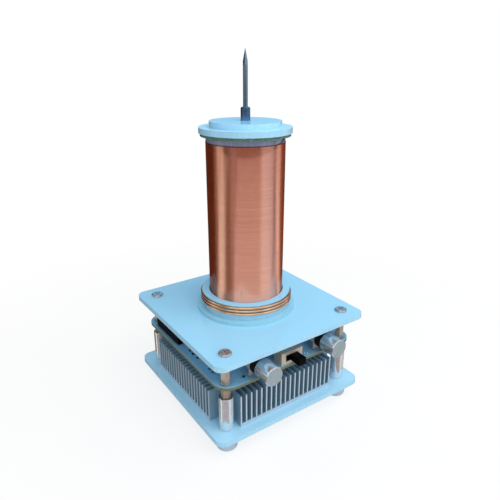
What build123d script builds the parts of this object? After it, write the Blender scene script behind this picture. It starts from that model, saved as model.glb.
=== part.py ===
from build123d import *
import os
from math import cos, hypot, pi, radians, sin, sqrt

# Desktop resonant transformer: a tall secondary coil with a short primary coil round its foot,
# standing on a driver board between two plates, with a heat sink below the board.
# Millimetres, +Z up. The controls face -Y. All pieces are made about the coil's axis, and are
# written with the origin on the desk, in the middle of the whole width and depth.

# ---------------------------------------------------------------- driving dimensions

# Plates, feet and posts
plate_side = 100.0
plate_thickness = 3.0
plate_corner_radius = 5.3
post_inset = 10.0               # plate edge to the axis of a post
foot_height = 9.0
foot_radius = 6.0
foot_taper = 0.2                # a foot is this much narrower in radius at the desk
foot_edge_rounding = 1.4
foot_screw_seat = 5.0           # height of the screw's seat inside the foot
post_radius = 4.0
post_edge_bevel = 0.25

# Screws, studs and hexagonal posts
foot_thread_radius = 1.5
foot_head_radius = 2.6
foot_head_height = 2.0
foot_screw_bite = 6.0           # length of foot screw inside the post
stud_radius = 1.25
plate_head_radius = 3.5
plate_head_height = 1.3
hex_width = 4.5                 # across the flats
spacer_turn = 28.7              # a corner of the lower hexagons, from +X
standoff_turn = 51.0            # and of the upper ones
stud_bite = 4.0                 # length of stud inside the piece below
washer_radius = 3.1
washer_thickness = 0.3
thread_clearance = 0.05         # radial, stud or screw in its threaded hole
hole_clearance = 0.15           # radial, stud or screw in a plain hole
bore_spare = 1.0                # a blind hole is this much deeper than what enters it

# Heat sink and power transistors
sink_front_gap = 5.4            # plate edge to the fin ends at the front and back
sink_left_gap = 4.8             # and at the left
sink_height = 19.3
sink_slab = 2.0
front_fin_pitch = 3.3           # fins at the front and back
side_fin_pitch = 3.2
fin_thickness = 0.8
fin_valley = 2.0                # gap along the diagonals, between the four groups of fins
sink_core_side = 34.0
sink_shift = -2.15              # the sink sits off the coil's axis, along X
notch_gap_x = 2.0               # least gap from a post to the fins beside it, along X
notch_gap_y = 5.1
sink_screw_offset = 12.0
sink_screw_bite = 7.0
pad_thickness = 0.3
pad_side_overhang = 1.0         # past the sides of the transistor
pad_end_overhang = 0.5          # and past its ends
transistor_width = 10.0
transistor_body_length = 9.2
transistor_tab_length = 6.4
transistor_thickness = 4.5
transistor_tab_thickness = 1.3
transistor_body_bevel = 0.4
tab_hole_inset = 2.88           # end of the tab to the middle of its hole
transistor_spacing = 16.0
transistor_lead_pitch = 2.54
transistor_lead_width = 0.7
transistor_lead_thickness = 0.5
transistor_lead_end = 1.2       # a lead reaches this far above the board
transistor_lead_reach = 3.4     # package to the upright part of a lead
transistor_screw_head_height = 1.6
transistor_screw_bite = 5.0
transistor_air = 2.5            # top of the transistors to the board
post_over_sink = 0.7            # the post is this much taller than the sink

# Circuit board
board_inset = 4.0               # plate edge to board edge
board_thickness = 1.6
board_corner_radius = 9.0
pin_side = 0.6
pin_hole_radius = 0.5
pin_below_board = 1.5

# Potentiometers and knobs
pot_spacing = 44.5
pot_front_setback = 3.5         # board edge back to the bracket's front face
bracket_width = 9.5
bracket_thickness = 0.8
bracket_claw_depth = 4.0
bracket_claw_thickness = 0.5
bracket_claw_height = 4.0
pot_over_axis = 4.8
housing_depth = 5.2
housing_side_gap = 0.05         # housing to the bracket's claws
housing_lift = 0.5              # board to the underside of the housing
housing_drop = 0.3              # top of the bracket to the top of the housing
bush_radius = 3.5
bush_nose = 0.7                 # the bush stands this far out of the bracket
bush_seat = 1.0                 # and this far into the housing
shaft_radius = 3.0
shaft_flat = 1.5                # axis to the flat
shaft_running_gap = 0.05
tail_radius = 1.5
rotor_radius = 3.3
rotor_thickness = 1.2
rotor_gap = 0.4
tail_bearing = 0.9
pot_pin_pitch = 2.5
pot_pin_inset = 0.8             # back of the housing to the middle of its pins
knob_radius = 5.35
knob_length = 10.0
knob_overhang = 1.8             # board edge out to the back of the knob
knob_edge_bevel = 0.4
knob_face_thickness = 1.8
knob_mark_length = 3.6
knob_mark_width = 0.5
knob_mark_depth = 0.3
knob_mark_offset = 3.6          # knob axis to the middle of the mark
knob_mark_angle = -121.0        # round the axis, from +X towards +Z
knob_mark_turn = -48.0          # the mark's own slant
core_step = 0.15                # the core's skirt is this much narrower than the knob
core_boss_radius = 4.2
core_back_gap = 0.9             # core to bracket
core_web = 1.2                  # thickness of the core in front of the shaft
shaft_end_gap = 0.3             # the shaft and its tail stop this far short of their holes' ends
core_board_gap = 1.3            # skirt to board
press_gap = 0.02                # radial, pieces pressed together

# Slide switch
switch_x = -0.75
switch_width = 14.5
switch_height = 7.6
switch_depth = 7.0
switch_front_setback = 0.6      # board edge back to the front of the shell
shell_wall = 0.5
shell_floor_gap = 0.3           # the shell's floor stops this far in front of the insulator
lever_width = 4.8
lever_height = 3.7
lever_reach = 7.3               # front of the shell to the end of the lever
lever_travel = 2.8
lever_end_gap = 0.45            # lever to slot end at each end of the travel
lever_side_gap = 0.15
lever_end_rounding = 0.15
shuttle_wing = 1.6              # the shuttle is this much longer than the lever at each end
shuttle_thickness = 3.0
shuttle_gap = 0.5
insulator_thickness = 1.5
insulator_gap = 0.1
switch_pin_pitch = 2.5

# Pieces on the board
pin_grid = 2.54
header_pins_long = 11
header_rows = 2
header_height = 8.5
header_edge_gap = 2.0
header_post_gap = 3.4           # header end to the washer of the post behind it
header_socket_side = 1.0
header_socket_depth = 6.0
power_jack_x = 20.0
power_jack_width = 9.0
power_jack_length = 14.4
power_jack_height = 11.0
power_bore_radius = 3.15
power_bore_depth = 9.5
power_pin_radius = 1.0
power_pin_length = 8.5
power_jack_legs = ((0.0, 1.2), (0.0, 6.0), (-3.2, 4.0))     # across, and in from the inner end
audio_jack_x = -18.0
audio_jack_width = 6.4
audio_jack_length = 12.0
audio_jack_height = 5.2
audio_collar_radius = 2.5
audio_collar_length = 2.0
audio_bore_radius = 1.8
audio_bore_depth = 11.0
audio_jack_legs = ((0.0, 0.9), (-2.4, 4.5), (2.4, 7.5))
jack_overhang = 1.0             # board edge out to the face of a jack
capacitor_edge_gap = 11.0       # board edge to the can
capacitor_y = 4.0
capacitor_radius = 5.0
capacitor_height = 12.5
capacitor_edge_rounding = 0.6
capacitor_waist_depth = 0.4
capacitor_waist_low = 1.4       # board to the lower edge of the waist
capacitor_waist_height = 0.8
capacitor_lead_pitch = 5.0
film_x = -8.0
film_y = 24.0
film_length = 18.0
film_width = 7.0
film_height = 9.0
film_lead_pitch = 15.0
film_edge_bevel = 0.5
chip_width = 3.9
chip_height = 1.5
chip_leg_pitch = 1.27
chip_leg_span = 6.0
chip_leg_width = 0.42
chip_leg_thickness = 0.22
chip_standoff = 0.15
chip_end = 0.55                 # last leg to the end of the package
chip_edge_bevel = 0.25
chip_leg_root = 0.1             # length of a leg inside the package
chip_leg_shoulder = 0.4         # package to the bend of a leg
chip_places = ((-15.0, 4.0, 8), (2.0, 2.0, 4))      # x, y and legs a side
headroom = 1.6                  # tallest piece on the board to the plate above it

# Secondary coil
tube_radius = 21.3
tube_wall = 1.5
tube_top_bare = 3.3
tube_foot_bare = 4.7
winding_length = 89.8
winding_thickness = 0.25
winding_seat_gap = 0.02
earth_lead_radius = 0.4
earth_hole_gap = 0.1            # radial, where the lead passes through the tube
earth_lead_inset = 2.5          # tube's inner wall to the upright lead
earth_lead_bend = 2.0
earth_lead_rise = 10.7          # coil disc to the hole in the tube

# Primary coil and its former
coil_disc_rim = 2.1             # the disc reaches this far past the outside of the turns
coil_disc_thickness = 2.0
former_bore_gap = 0.35          # winding to the bore of the former
former_wall = 3.5
former_lip = 0.6                # how far the lip stands out, and how thick it is
former_foot = 1.45              # disc to the lowest turn
former_slot_width = 3.0
former_slot_web = 0.5
primary_turns = 3
primary_wire = 1.4
primary_turn_gap = 0.45
primary_seat_gap = 0.1
primary_end_bend = 1.5
primary_corner_bend = 1.6
primary_dip_bend = 1.4
primary_end_angle = 55.7        # where both ends leave the turns, from +X towards +Y
wire_hole_gap = 0.3

# Head of the coil
output_board_rim = 3.0          # the disc stands out past the tube
output_board_thickness = 1.5
large_cap_radius = 25.0
small_cap_radius = 19.35
cap_thickness = 3.0
cap_screw_bite = 3.5
head_hex_height = 6.9
head_hex_shoulder = 0.6
head_hex_turn = 15.0
spike_radius = 1.25
spike_bite = 2.9
spike_shaft_length = 19.7
spike_point_length = 8.4
spike_tip_side = 0.16

# ---------------------------------------------------------------- worked-out places

post_offset = plate_side / 2 - post_inset
base_bottom = foot_height
base_top = base_bottom + plate_thickness
sink_top = base_top + sink_height
post_top = sink_top + post_over_sink
transistor_bottom = sink_top + pad_thickness
transistor_top = transistor_bottom + transistor_thickness
board_bottom = transistor_top + transistor_air
board_top = board_bottom + board_thickness
board_edge = plate_side / 2 - board_inset
capacitor_x = board_edge - capacitor_edge_gap - capacitor_radius

core_skirt_radius = knob_radius - core_step
axis_over_board = core_skirt_radius + core_board_gap
pot_axis = board_top + axis_over_board
pot_height = axis_over_board + pot_over_axis
tallest = max(capacitor_height, power_jack_height, audio_jack_height, film_height,
              header_height, switch_height, pot_height)
deck_bottom = board_top + tallest + headroom
deck_top = deck_bottom + plate_thickness
standoff_bottom = board_top + washer_thickness

pot_front = -board_edge + pot_front_setback
rotor_start = pot_front + bracket_thickness + bush_seat + rotor_gap
cavity_end = rotor_start + rotor_thickness + rotor_gap
knob_back = -board_edge - knob_overhang
knob_front = knob_back - knob_length
core_end = knob_front + knob_face_thickness

switch_front = -board_edge + switch_front_setback
switch_back = switch_front + switch_depth
switch_middle = board_top + switch_height / 2
slot_length = lever_width + lever_travel + 2 * lever_end_gap
lever_x = switch_x - slot_length / 2 + slot_length - lever_end_gap - lever_width / 2
insulator_front = switch_back - insulator_thickness

disc_top = deck_top + coil_disc_thickness
tube_bottom = disc_top
winding_bottom = tube_bottom + tube_foot_bare
winding_top = winding_bottom + winding_length
tube_top = winding_top + tube_top_bare
tube_bore = tube_radius - tube_wall
winding_inner = tube_radius + winding_seat_gap
winding_radius = tube_radius + winding_thickness
former_bore = winding_radius + former_bore_gap
former_radius = former_bore + former_wall
primary_pitch = primary_wire + primary_turn_gap
primary_radius = former_radius + primary_seat_gap + primary_wire / 2
primary_low = disc_top + former_foot + primary_wire / 2
primary_high = primary_low + primary_turns * primary_pitch
former_shoulder = primary_high + primary_wire / 2 + primary_seat_gap
coil_disc_radius = primary_radius + primary_wire / 2 + coil_disc_rim

output_board_radius = tube_radius + output_board_rim
output_board_top = tube_top + output_board_thickness
large_cap_top = output_board_top + cap_thickness
small_cap_top = large_cap_top + cap_thickness
head_hex_top = small_cap_top + head_hex_height
spike_shoulder = head_hex_top + spike_shaft_length
spike_tip = spike_shoulder + spike_point_length

depth_shift = -(knob_front + plate_side / 2) / 2    # coil's axis to the middle of the depth

UPRIGHT = (Align.CENTER, Align.CENTER, Align.MIN)


# ---------------------------------------------------------------- shapes used throughout

def disc(radius, bottom, top, x=0.0, y=0.0):
    """Upright round bar between two heights."""
    return Pos(x, y, bottom) * Cylinder(radius, top - bottom, align=UPRIGHT)


def ring(outer, inner, bottom, top, x=0.0, y=0.0):
    """Upright tube between two heights."""
    return disc(outer, bottom, top, x, y) - disc(inner, bottom, top, x, y)


def bar(radius, front, back, x, z):
    """Round bar that lies along Y."""
    return Pos(x, front, z) * Rot(-90, 0, 0) * Cylinder(radius, back - front, align=UPRIGHT)


def block(x_from, x_to, y_from, y_to, z_from, z_to):
    """Box between two corners."""
    middle = Pos((x_from + x_to) / 2, (y_from + y_to) / 2, (z_from + z_to) / 2)
    return middle * Box(x_to - x_from, y_to - y_from, z_to - z_from)


def hexagon(bottom, top, turn):
    """Hexagonal bar of the common width, with a corner turned by so many degrees from +X."""
    outline = RegularPolygon(hex_width / 2, 6, major_radius=False)
    return Pos(0, 0, bottom) * Rot(0, 0, turn) * extrude(outline, amount=top - bottom)


def pan_screw(head_radius, head_height, shank_radius, shank_length):
    """Screw with its head's seat at height 0, a cross recess in its top and its shank below."""
    head = fillet(disc(head_radius, 0, head_height).edges().group_by(Axis.Z)[-1], head_height * 0.6)
    recess_length = head_radius * 1.1
    recess_width = head_radius * 0.24
    slots = [Pos(0, 0, head_height) * Box(length, width, head_height * 0.9)
             for length, width in ((recess_length, recess_width), (recess_width, recess_length))]
    return head - slots + disc(shank_radius, -shank_length, 0)


def at_corners(piece, offset):
    """Four copies of a piece, at the corners of a square round the axis."""
    return [Pos(x, y, 0) * piece for x in (-offset, offset) for y in (-offset, offset)]


def pins(places, top, side=pin_side):
    """Square pins that hang through the board below the given height."""
    bottom = board_bottom - pin_below_board
    half = side / 2
    return [block(x - half, x + half, y - half, y + half, bottom, top) for x, y in places]


def save(name, *pieces):
    """Write one node: a single solid, or a group of separate ones."""
    placed = [Pos(0, depth_shift, 0) * piece for piece in pieces]
    shape = placed[0] if len(placed) == 1 else Compound(children=placed)
    export_step(shape, f"parts/{name}.step")


# ---------------------------------------------------------------- plates, feet and posts

def rounded_plate(side, corner_radius, bottom, thickness, holes):
    """Square plate with round corners and round holes, given as (x, y, radius)."""
    outline = RectangleRounded(side, side, corner_radius)
    outline -= [Pos(x, y) * Circle(radius) for x, y, radius in holes]
    return Pos(0, 0, bottom) * extrude(outline, amount=thickness)


def corner_places(offset):
    return [(x, y) for x in (-offset, offset) for y in (-offset, offset)]


def sink_places():
    """Where the sink's screws come up through the base plate."""
    return [(x + sink_shift, y) for x, y in corner_places(sink_screw_offset)]


def base_plate():
    radius = foot_thread_radius + hole_clearance
    holes = [(x, y, radius) for x, y in corner_places(post_offset) + sink_places()]
    return rounded_plate(plate_side, plate_corner_radius, base_bottom, plate_thickness, holes)


def top_plate():
    holes = [(x, y, stud_radius + hole_clearance) for x, y in corner_places(post_offset)]
    holes += wire_holes()
    return rounded_plate(plate_side, plate_corner_radius, deck_bottom, plate_thickness, holes)


def rubber_foot():
    """Tapered foot with a rounded lower edge and a recess for the screw's head."""
    foot = Cone(foot_radius - foot_taper, foot_radius, foot_height, align=UPRIGHT)
    foot = fillet(foot.edges().group_by(Axis.Z)[0], foot_edge_rounding)
    foot -= disc(foot_head_radius + 2 * hole_clearance, 0, foot_screw_seat)
    return foot - disc(foot_thread_radius + hole_clearance, foot_screw_seat, foot_height)


def foot_screw():
    """Screw that holds a foot and the base plate to the post above, head downwards."""
    shank = base_top - foot_screw_seat + foot_screw_bite
    screw = pan_screw(foot_head_radius, foot_head_height, foot_thread_radius, shank)
    return Pos(0, 0, foot_screw_seat) * Rot(180, 0, 0) * screw


def support_post():
    """Polished round post, threaded at both ends."""
    post = disc(post_radius, base_top, post_top)
    post = chamfer(post.edges().filter_by(GeomType.CIRCLE), post_edge_bevel)
    lower = base_top + foot_screw_bite + bore_spare
    upper = post_top - stud_bite - bore_spare
    post -= disc(foot_thread_radius + thread_clearance, base_top, lower)
    return post - disc(stud_radius + thread_clearance, upper, post_top)


def hex_spacer():
    """Hexagonal spacer below the board, with a stud below and a threaded hole above."""
    spacer = hexagon(post_top, board_bottom, spacer_turn)
    depth = min(stud_bite + bore_spare, (board_bottom - post_top) * 0.8)
    spacer -= disc(stud_radius + thread_clearance, board_bottom - depth, board_bottom)
    return spacer + disc(stud_radius, post_top - stud_bite, post_top)


def standoff():
    """Hexagonal post above the board, whose stud passes through washer and board."""
    post = hexagon(standoff_bottom, deck_bottom, standoff_turn)
    post -= disc(stud_radius + thread_clearance, deck_bottom - stud_bite - 2 * bore_spare, deck_bottom)
    return post + disc(stud_radius, board_bottom - stud_bite, standoff_bottom)


def washer():
    return ring(washer_radius, stud_radius + hole_clearance, board_top, standoff_bottom)


def plate_screw():
    screw = pan_screw(plate_head_radius, plate_head_height, stud_radius, plate_thickness + stud_bite)
    return Pos(0, 0, deck_top) * screw


# ---------------------------------------------------------------- heat sink

def fin_offsets(pitch, reach):
    """Fin places on both sides of the middle, within a reach. The middle itself is a gap."""
    count = int((reach - fin_thickness / 2) / pitch + 0.5)
    return [(number + 0.5) * pitch for number in range(-count, count)]


def fin_group(offsets, outer, turn):
    """Plan of one side's fins, each from its outer end in to the diagonal or the core.

    They run towards -Y, and the whole group is then turned by so many degrees.
    """
    fins = []
    for offset in offsets:
        inner = max(abs(offset) + fin_valley, sink_core_side / 2)
        fin = Pos(offset, -(outer + inner) / 2) * Rectangle(fin_thickness, outer - inner)
        fins.append(Rot(0, 0, turn) * fin)
    return fins


def heat_sink():
    """Slab with a square core and four groups of upright fins, and a notch for each post."""
    half_x = plate_side / 2 - sink_left_gap + sink_shift
    half_y = plate_side / 2 - sink_front_gap
    post_inside = post_offset - post_radius
    front = fin_offsets(front_fin_pitch, post_inside + sink_shift - notch_gap_x)
    side = fin_offsets(side_fin_pitch, post_inside - notch_gap_y)
    notch_x = front[-1] + fin_thickness / 2
    notch_y = side[-1] + fin_thickness / 2
    outline = Rectangle(2 * notch_x, 2 * half_y) + Rectangle(2 * half_x, 2 * notch_y)
    plan = Sketch() + Rectangle(sink_core_side, sink_core_side)
    for turn in (0, 180):
        plan += fin_group(front, half_y, turn)
        plan += fin_group(side, half_x, turn + 90)
    sink = extrude(outline, amount=sink_slab)
    sink += Pos(0, 0, sink_slab) * extrude(plan, amount=sink_height - sink_slab)
    radius = foot_thread_radius + thread_clearance
    depth = sink_screw_bite + bore_spare
    holes = [disc(radius, base_top, base_top + depth, x, y) for x, y in sink_places()]
    bottom = sink_top - transistor_screw_bite - bore_spare
    holes += [disc(radius, bottom, sink_top, x, y) for x, y in transistor_screw_places()]
    return Pos(sink_shift, 0, base_top) * sink - holes


def sink_screw():
    """Screw from below the base plate into the sink's core, head downwards."""
    shank = plate_thickness + sink_screw_bite
    screw = pan_screw(foot_head_radius, foot_head_height, foot_thread_radius, shank)
    return Pos(0, 0, base_bottom) * Rot(180, 0, 0) * screw


# ---------------------------------------------------------------- power transistors

transistor_front = -transistor_body_length / 2
tab_back = transistor_body_length / 2 + transistor_tab_length
tab_hole_y = tab_back - tab_hole_inset
transistor_lead_y = transistor_front - transistor_lead_reach


def transistor_middles():
    return (sink_shift - transistor_spacing / 2, sink_shift + transistor_spacing / 2)


def transistor_screw_places():
    return [(x, tab_hole_y) for x in transistor_middles()]


def transistor_lead_places():
    return [(x + step * transistor_lead_pitch, transistor_lead_y)
            for x in transistor_middles() for step in (-1, 0, 1)]


def thermal_pad(x):
    half = transistor_width / 2 + pad_side_overhang
    pad = block(x - half, x + half, transistor_front - pad_end_overhang, tab_back + pad_end_overhang,
                sink_top, transistor_bottom)
    radius = foot_thread_radius + 2 * hole_clearance
    return pad - disc(radius, sink_top, transistor_bottom, x, tab_hole_y)


def transistor(x):
    """Moulded body on a metal tab, laid flat on the sink's core."""
    half = transistor_width / 2
    tab_top = transistor_bottom + transistor_tab_thickness
    back = transistor_body_length / 2
    body = block(x - half, x + half, transistor_front, back, transistor_bottom, transistor_top)
    body = chamfer(body.edges().group_by(Axis.Z)[-1], transistor_body_bevel)
    body += block(x - half, x + half, back, tab_back, transistor_bottom, tab_top)
    hole = disc(foot_thread_radius + 2 * hole_clearance, transistor_bottom, tab_top, x, tab_hole_y)
    return body - hole


def transistor_lead(x):
    """Lead that leaves the body level and turns up through the board."""
    middle = transistor_bottom + transistor_thickness / 2
    wide = transistor_lead_width / 2
    thin = transistor_lead_thickness / 2
    level = block(x - wide, x + wide, transistor_lead_y - thin, transistor_front,
                  middle - thin, middle + thin)
    upright = block(x - wide, x + wide, transistor_lead_y - thin, transistor_lead_y + thin,
                    middle - thin, board_top + transistor_lead_end)
    return level + upright


def transistor_screw(x):
    seat = transistor_bottom + transistor_tab_thickness
    shank = seat - sink_top + transistor_screw_bite
    screw = pan_screw(foot_head_radius, transistor_screw_head_height, foot_thread_radius, shank)
    return Pos(x, tab_hole_y, seat) * screw


# ---------------------------------------------------------------- circuit board

def pot_middles():
    return (-pot_spacing / 2, pot_spacing / 2)


def pot_pin_places():
    back = pot_front + bracket_thickness + housing_depth - pot_pin_inset
    return [(x + step * pot_pin_pitch, back) for x in pot_middles() for step in (-1, 0, 1)]


def switch_pin_places():
    middle = (insulator_front + switch_back) / 2
    return [(switch_x + step * switch_pin_pitch, middle) for step in (-1, 0, 1)]


def header_middle():
    """Plan position of the middle of the header, near the left edge of the board."""
    x = -board_edge + header_edge_gap + header_rows * pin_grid / 2
    y = post_offset - washer_radius - header_post_gap - header_pins_long * pin_grid / 2
    return x, y


def header_places():
    x, y = header_middle()
    across = [x + (row - (header_rows - 1) / 2) * pin_grid for row in range(header_rows)]
    along = [y + (pin - (header_pins_long - 1) / 2) * pin_grid for pin in range(header_pins_long)]
    return [(a, b) for a in across for b in along]


def jack_face():
    return board_edge + jack_overhang


def power_jack_pin_places():
    back = jack_face() - power_jack_length
    return [(power_jack_x + across, back + along) for across, along in power_jack_legs]


def audio_jack_pin_places():
    back = jack_face() - audio_jack_length
    return [(audio_jack_x + across, back + along) for across, along in audio_jack_legs]


def capacitor_lead_places():
    electrolytic = [(capacitor_x, capacitor_y + side * capacitor_lead_pitch / 2) for side in (-1, 1)]
    film = [(film_x + side * film_lead_pitch / 2, film_y) for side in (-1, 1)]
    return electrolytic + film


def circuit_board():
    holes = [(x, y, stud_radius + hole_clearance) for x, y in corner_places(post_offset)]
    small = (pot_pin_places() + switch_pin_places() + header_places() + power_jack_pin_places()
             + audio_jack_pin_places() + capacitor_lead_places() + transistor_lead_places())
    holes += [(x, y, pin_hole_radius) for x, y in small]
    return rounded_plate(2 * board_edge, board_corner_radius, board_bottom, board_thickness, holes)


# ---------------------------------------------------------------- potentiometers and knobs

def pot_bracket(x):
    """Front strip of folded sheet, with a claw down each side of the housing."""
    half = bracket_width / 2
    back = pot_front + bracket_thickness
    bracket = block(x - half, x + half, pot_front, back, board_top, board_top + pot_height)
    for side in (-1, 1):
        inner = half - bracket_claw_thickness
        edges = sorted((x + side * inner, x + side * half))
        bracket += block(*edges, back, back + bracket_claw_depth,
                         pot_axis - bracket_claw_height / 2, pot_axis + bracket_claw_height / 2)
    return bracket - bar(bush_radius + press_gap, pot_front, back, x, pot_axis)


def pot_housing(x):
    """Moulded box behind the bracket, hollow for the rotor and the end of the shaft."""
    half = bracket_width / 2 - bracket_claw_thickness - housing_side_gap
    front = pot_front + bracket_thickness
    housing = block(x - half, x + half, front, front + housing_depth,
                    board_top + housing_lift, board_top + pot_height - housing_drop)
    housing -= bar(bush_radius + press_gap, front, front + bush_seat, x, pot_axis)
    housing -= bar(rotor_radius + rotor_gap, front + bush_seat, cavity_end, x, pot_axis)
    return housing - bar(tail_radius + shaft_running_gap, cavity_end, cavity_end + tail_bearing, x, pot_axis)


def pot_bush(x):
    """Bearing of the shaft, through the bracket."""
    front = pot_front - bush_nose
    back = pot_front + bracket_thickness + bush_seat
    bush = bar(bush_radius, front, back, x, pot_axis)
    return bush - bar(shaft_radius + shaft_running_gap, front, back, x, pot_axis)


def flattened(radius, front, back, x, flat):
    """Round bar along Y with a flat on its upper side."""
    rod = bar(radius, front, back, x, pot_axis)
    return rod - block(x - radius, x + radius, front, back, pot_axis + flat, pot_axis + radius)


def pot_shaft(x):
    """Shaft with a flat where the knob sits and a thinner tail inside the housing."""
    shoulder = rotor_start - rotor_gap / 2
    bush_front = pot_front - bush_nose
    shaft = flattened(shaft_radius, core_end + core_web + shaft_end_gap, bush_front, x, shaft_flat)
    shaft += bar(shaft_radius, bush_front, shoulder, x, pot_axis)
    return shaft + bar(tail_radius, shoulder, cavity_end + tail_bearing - shaft_end_gap, x, pot_axis)


def pot_rotor(x):
    """Disc that carries the wiper, on the shaft's tail."""
    back = rotor_start + rotor_thickness
    rotor = bar(rotor_radius, rotor_start, back, x, pot_axis)
    return rotor - bar(tail_radius + press_gap, rotor_start, back, x, pot_axis)


def knob_core(x):
    """Moulded core of a knob: a skirt behind the metal and a boss inside it."""
    back = pot_front - core_back_gap
    core = bar(core_skirt_radius, knob_back, back, x, pot_axis)
    core += bar(core_boss_radius, core_end, knob_back, x, pot_axis)
    return core - flattened(shaft_radius + press_gap, core_end + core_web, back, x,
                            shaft_flat + press_gap)


def knob(x, marked):
    """Turned metal knob with a bevelled edge, hollow behind, and a mark cut in its face."""
    body = bar(knob_radius, knob_front, knob_back, x, pot_axis)
    body = chamfer(body.edges().group_by(Axis.Y)[0], knob_edge_bevel)
    body -= bar(core_boss_radius + press_gap, core_end, knob_back, x, pot_axis)
    if marked:
        angle = radians(knob_mark_angle)
        place = Pos(x + knob_mark_offset * cos(angle), knob_front, pot_axis + knob_mark_offset * sin(angle))
        cut = Box(knob_mark_length, 2 * knob_mark_depth, knob_mark_width)
        body -= place * Rot(0, knob_mark_turn, 0) * cut
    return body


# ---------------------------------------------------------------- slide switch

def switch_shell():
    """Folded steel shell, open behind, with a slot for the lever."""
    half = switch_width / 2
    top = board_top + switch_height
    shell = block(switch_x - half, switch_x + half, switch_front, switch_back, board_top, top)
    inner = half - shell_wall
    shell -= block(switch_x - inner, switch_x + inner, switch_front + shell_wall, switch_back,
                   board_top + shell_wall, top - shell_wall)
    shell -= block(switch_x - inner, switch_x + inner, insulator_front - shell_floor_gap, switch_back,
                   board_top, board_top + shell_wall)
    slot = slot_length / 2
    side = lever_height / 2 + lever_side_gap
    return shell - block(switch_x - slot, switch_x + slot, switch_front, switch_front + shell_wall,
                         switch_middle - side, switch_middle + side)


def switch_insulator():
    """Board of laminate that closes the back of the shell and holds the pins."""
    half = switch_width / 2 - shell_wall - insulator_gap
    return block(switch_x - half, switch_x + half, insulator_front, switch_back,
                 board_top + insulator_gap, board_top + switch_height - shell_wall - insulator_gap)


def switch_shuttle():
    """Sliding block behind the front of the shell, which carries the lever."""
    half = lever_width / 2 + shuttle_wing
    front = switch_front + shell_wall + shuttle_gap
    side = switch_height / 2 - shell_wall - shuttle_gap
    return block(lever_x - half, lever_x + half, front, front + shuttle_thickness,
                 switch_middle - side, switch_middle + side)


def switch_lever():
    """Lever that stands out through the slot."""
    half = lever_width / 2
    side = lever_height / 2
    back = switch_front + shell_wall + shuttle_gap
    lever = block(lever_x - half, lever_x + half, switch_front - lever_reach, back,
                  switch_middle - side, switch_middle + side)
    return fillet(lever.edges().group_by(Axis.Y)[0], lever_end_rounding)


# ---------------------------------------------------------------- pieces on the board

def header_socket():
    """Two-row socket strip with a square well over each pin."""
    x, y = header_middle()
    half_x = header_rows * pin_grid / 2
    half_y = header_pins_long * pin_grid / 2
    body = block(x - half_x, x + half_x, y - half_y, y + half_y, board_top, board_top + header_height)
    wells = Sketch() + [Pos(a, b) * Rectangle(header_socket_side, header_socket_side)
                        for a, b in header_places()]
    return body - Pos(0, 0, board_top + header_height) * extrude(wells, amount=-header_socket_depth)


def power_jack():
    """Moulded power inlet, open to the rear."""
    half = power_jack_width / 2
    face = jack_face()
    middle = board_top + power_jack_height / 2
    jack = block(power_jack_x - half, power_jack_x + half, face - power_jack_length, face,
                 board_top, board_top + power_jack_height)
    return jack - bar(power_bore_radius, face - power_bore_depth, face, power_jack_x, middle)


def power_jack_pin():
    """Contact pin in the middle of the power inlet."""
    root = jack_face() - power_bore_depth
    middle = board_top + power_jack_height / 2
    pin = bar(power_pin_radius, root, root + power_pin_length, power_jack_x, middle)
    return fillet(pin.edges().group_by(Axis.Y)[-1], power_pin_radius * 0.6)


def audio_jack():
    """Moulded signal socket with a round collar, open to the rear."""
    half = audio_jack_width / 2
    face = jack_face()
    middle = board_top + audio_jack_height / 2
    jack = block(audio_jack_x - half, audio_jack_x + half, face - audio_jack_length, face,
                 board_top, board_top + audio_jack_height)
    jack += bar(audio_collar_radius, face, face + audio_collar_length, audio_jack_x, middle)
    mouth = face + audio_collar_length
    return jack - bar(audio_bore_radius, mouth - audio_bore_depth, mouth, audio_jack_x, middle)


def electrolytic_capacitor():
    """Round can with a crimped waist near its foot."""
    can = disc(capacitor_radius, board_top, board_top + capacitor_height, capacitor_x, capacitor_y)
    can = fillet(can.edges().filter_by(GeomType.CIRCLE), capacitor_edge_rounding)
    low = board_top + capacitor_waist_low
    waist = ring(capacitor_radius, capacitor_radius - capacitor_waist_depth, low,
                 low + capacitor_waist_height, capacitor_x, capacitor_y)
    return can - waist


def film_capacitor():
    half_x = film_length / 2
    half_y = film_width / 2
    body = block(film_x - half_x, film_x + half_x, film_y - half_y, film_y + half_y,
                 board_top, board_top + film_height)
    return chamfer(body.edges().group_by(Axis.Z)[-1], film_edge_bevel)


def driver_chip(x, y, legs_a_side):
    """Flat package with bent legs down both long sides."""
    half_x = (legs_a_side - 1) * chip_leg_pitch / 2 + chip_end
    half_y = chip_width / 2
    bottom = board_top + chip_standoff
    body = block(x - half_x, x + half_x, y - half_y, y + half_y, bottom, bottom + chip_height)
    body = chamfer(body.edges().group_by(Axis.Z)[-1], chip_edge_bevel)
    legs = []
    middle = bottom + chip_height / 2
    root = half_y - chip_leg_root
    bend = half_y + chip_leg_shoulder
    tip = chip_leg_span / 2
    thick = chip_leg_thickness
    for side in (-1, 1):
        outline = [(root, middle), (bend, middle), (bend, board_top), (tip, board_top),
                   (tip, board_top + thick), (bend + thick, board_top + thick),
                   (bend + thick, middle + thick), (root, middle + thick)]
        profile = make_face(Polyline(*[(side * a, b) for a, b in outline], close=True))
        for leg in range(legs_a_side):
            start = x - half_x + chip_end + leg * chip_leg_pitch - chip_leg_width / 2
            across = Plane(origin=(start, y, 0), x_dir=(0, 1, 0), z_dir=(1, 0, 0))
            legs.append(across * extrude(profile, amount=chip_leg_width))
    return body + legs


# ---------------------------------------------------------------- primary coil

end_angle = radians(primary_end_angle)
OUTWARD = Vector(cos(end_angle), sin(end_angle), 0)
ONWARD = Vector(-sin(end_angle), cos(end_angle), 0)
UP = Vector(0, 0, 1)
dip_reach = primary_radius - primary_corner_bend - primary_dip_bend


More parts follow.
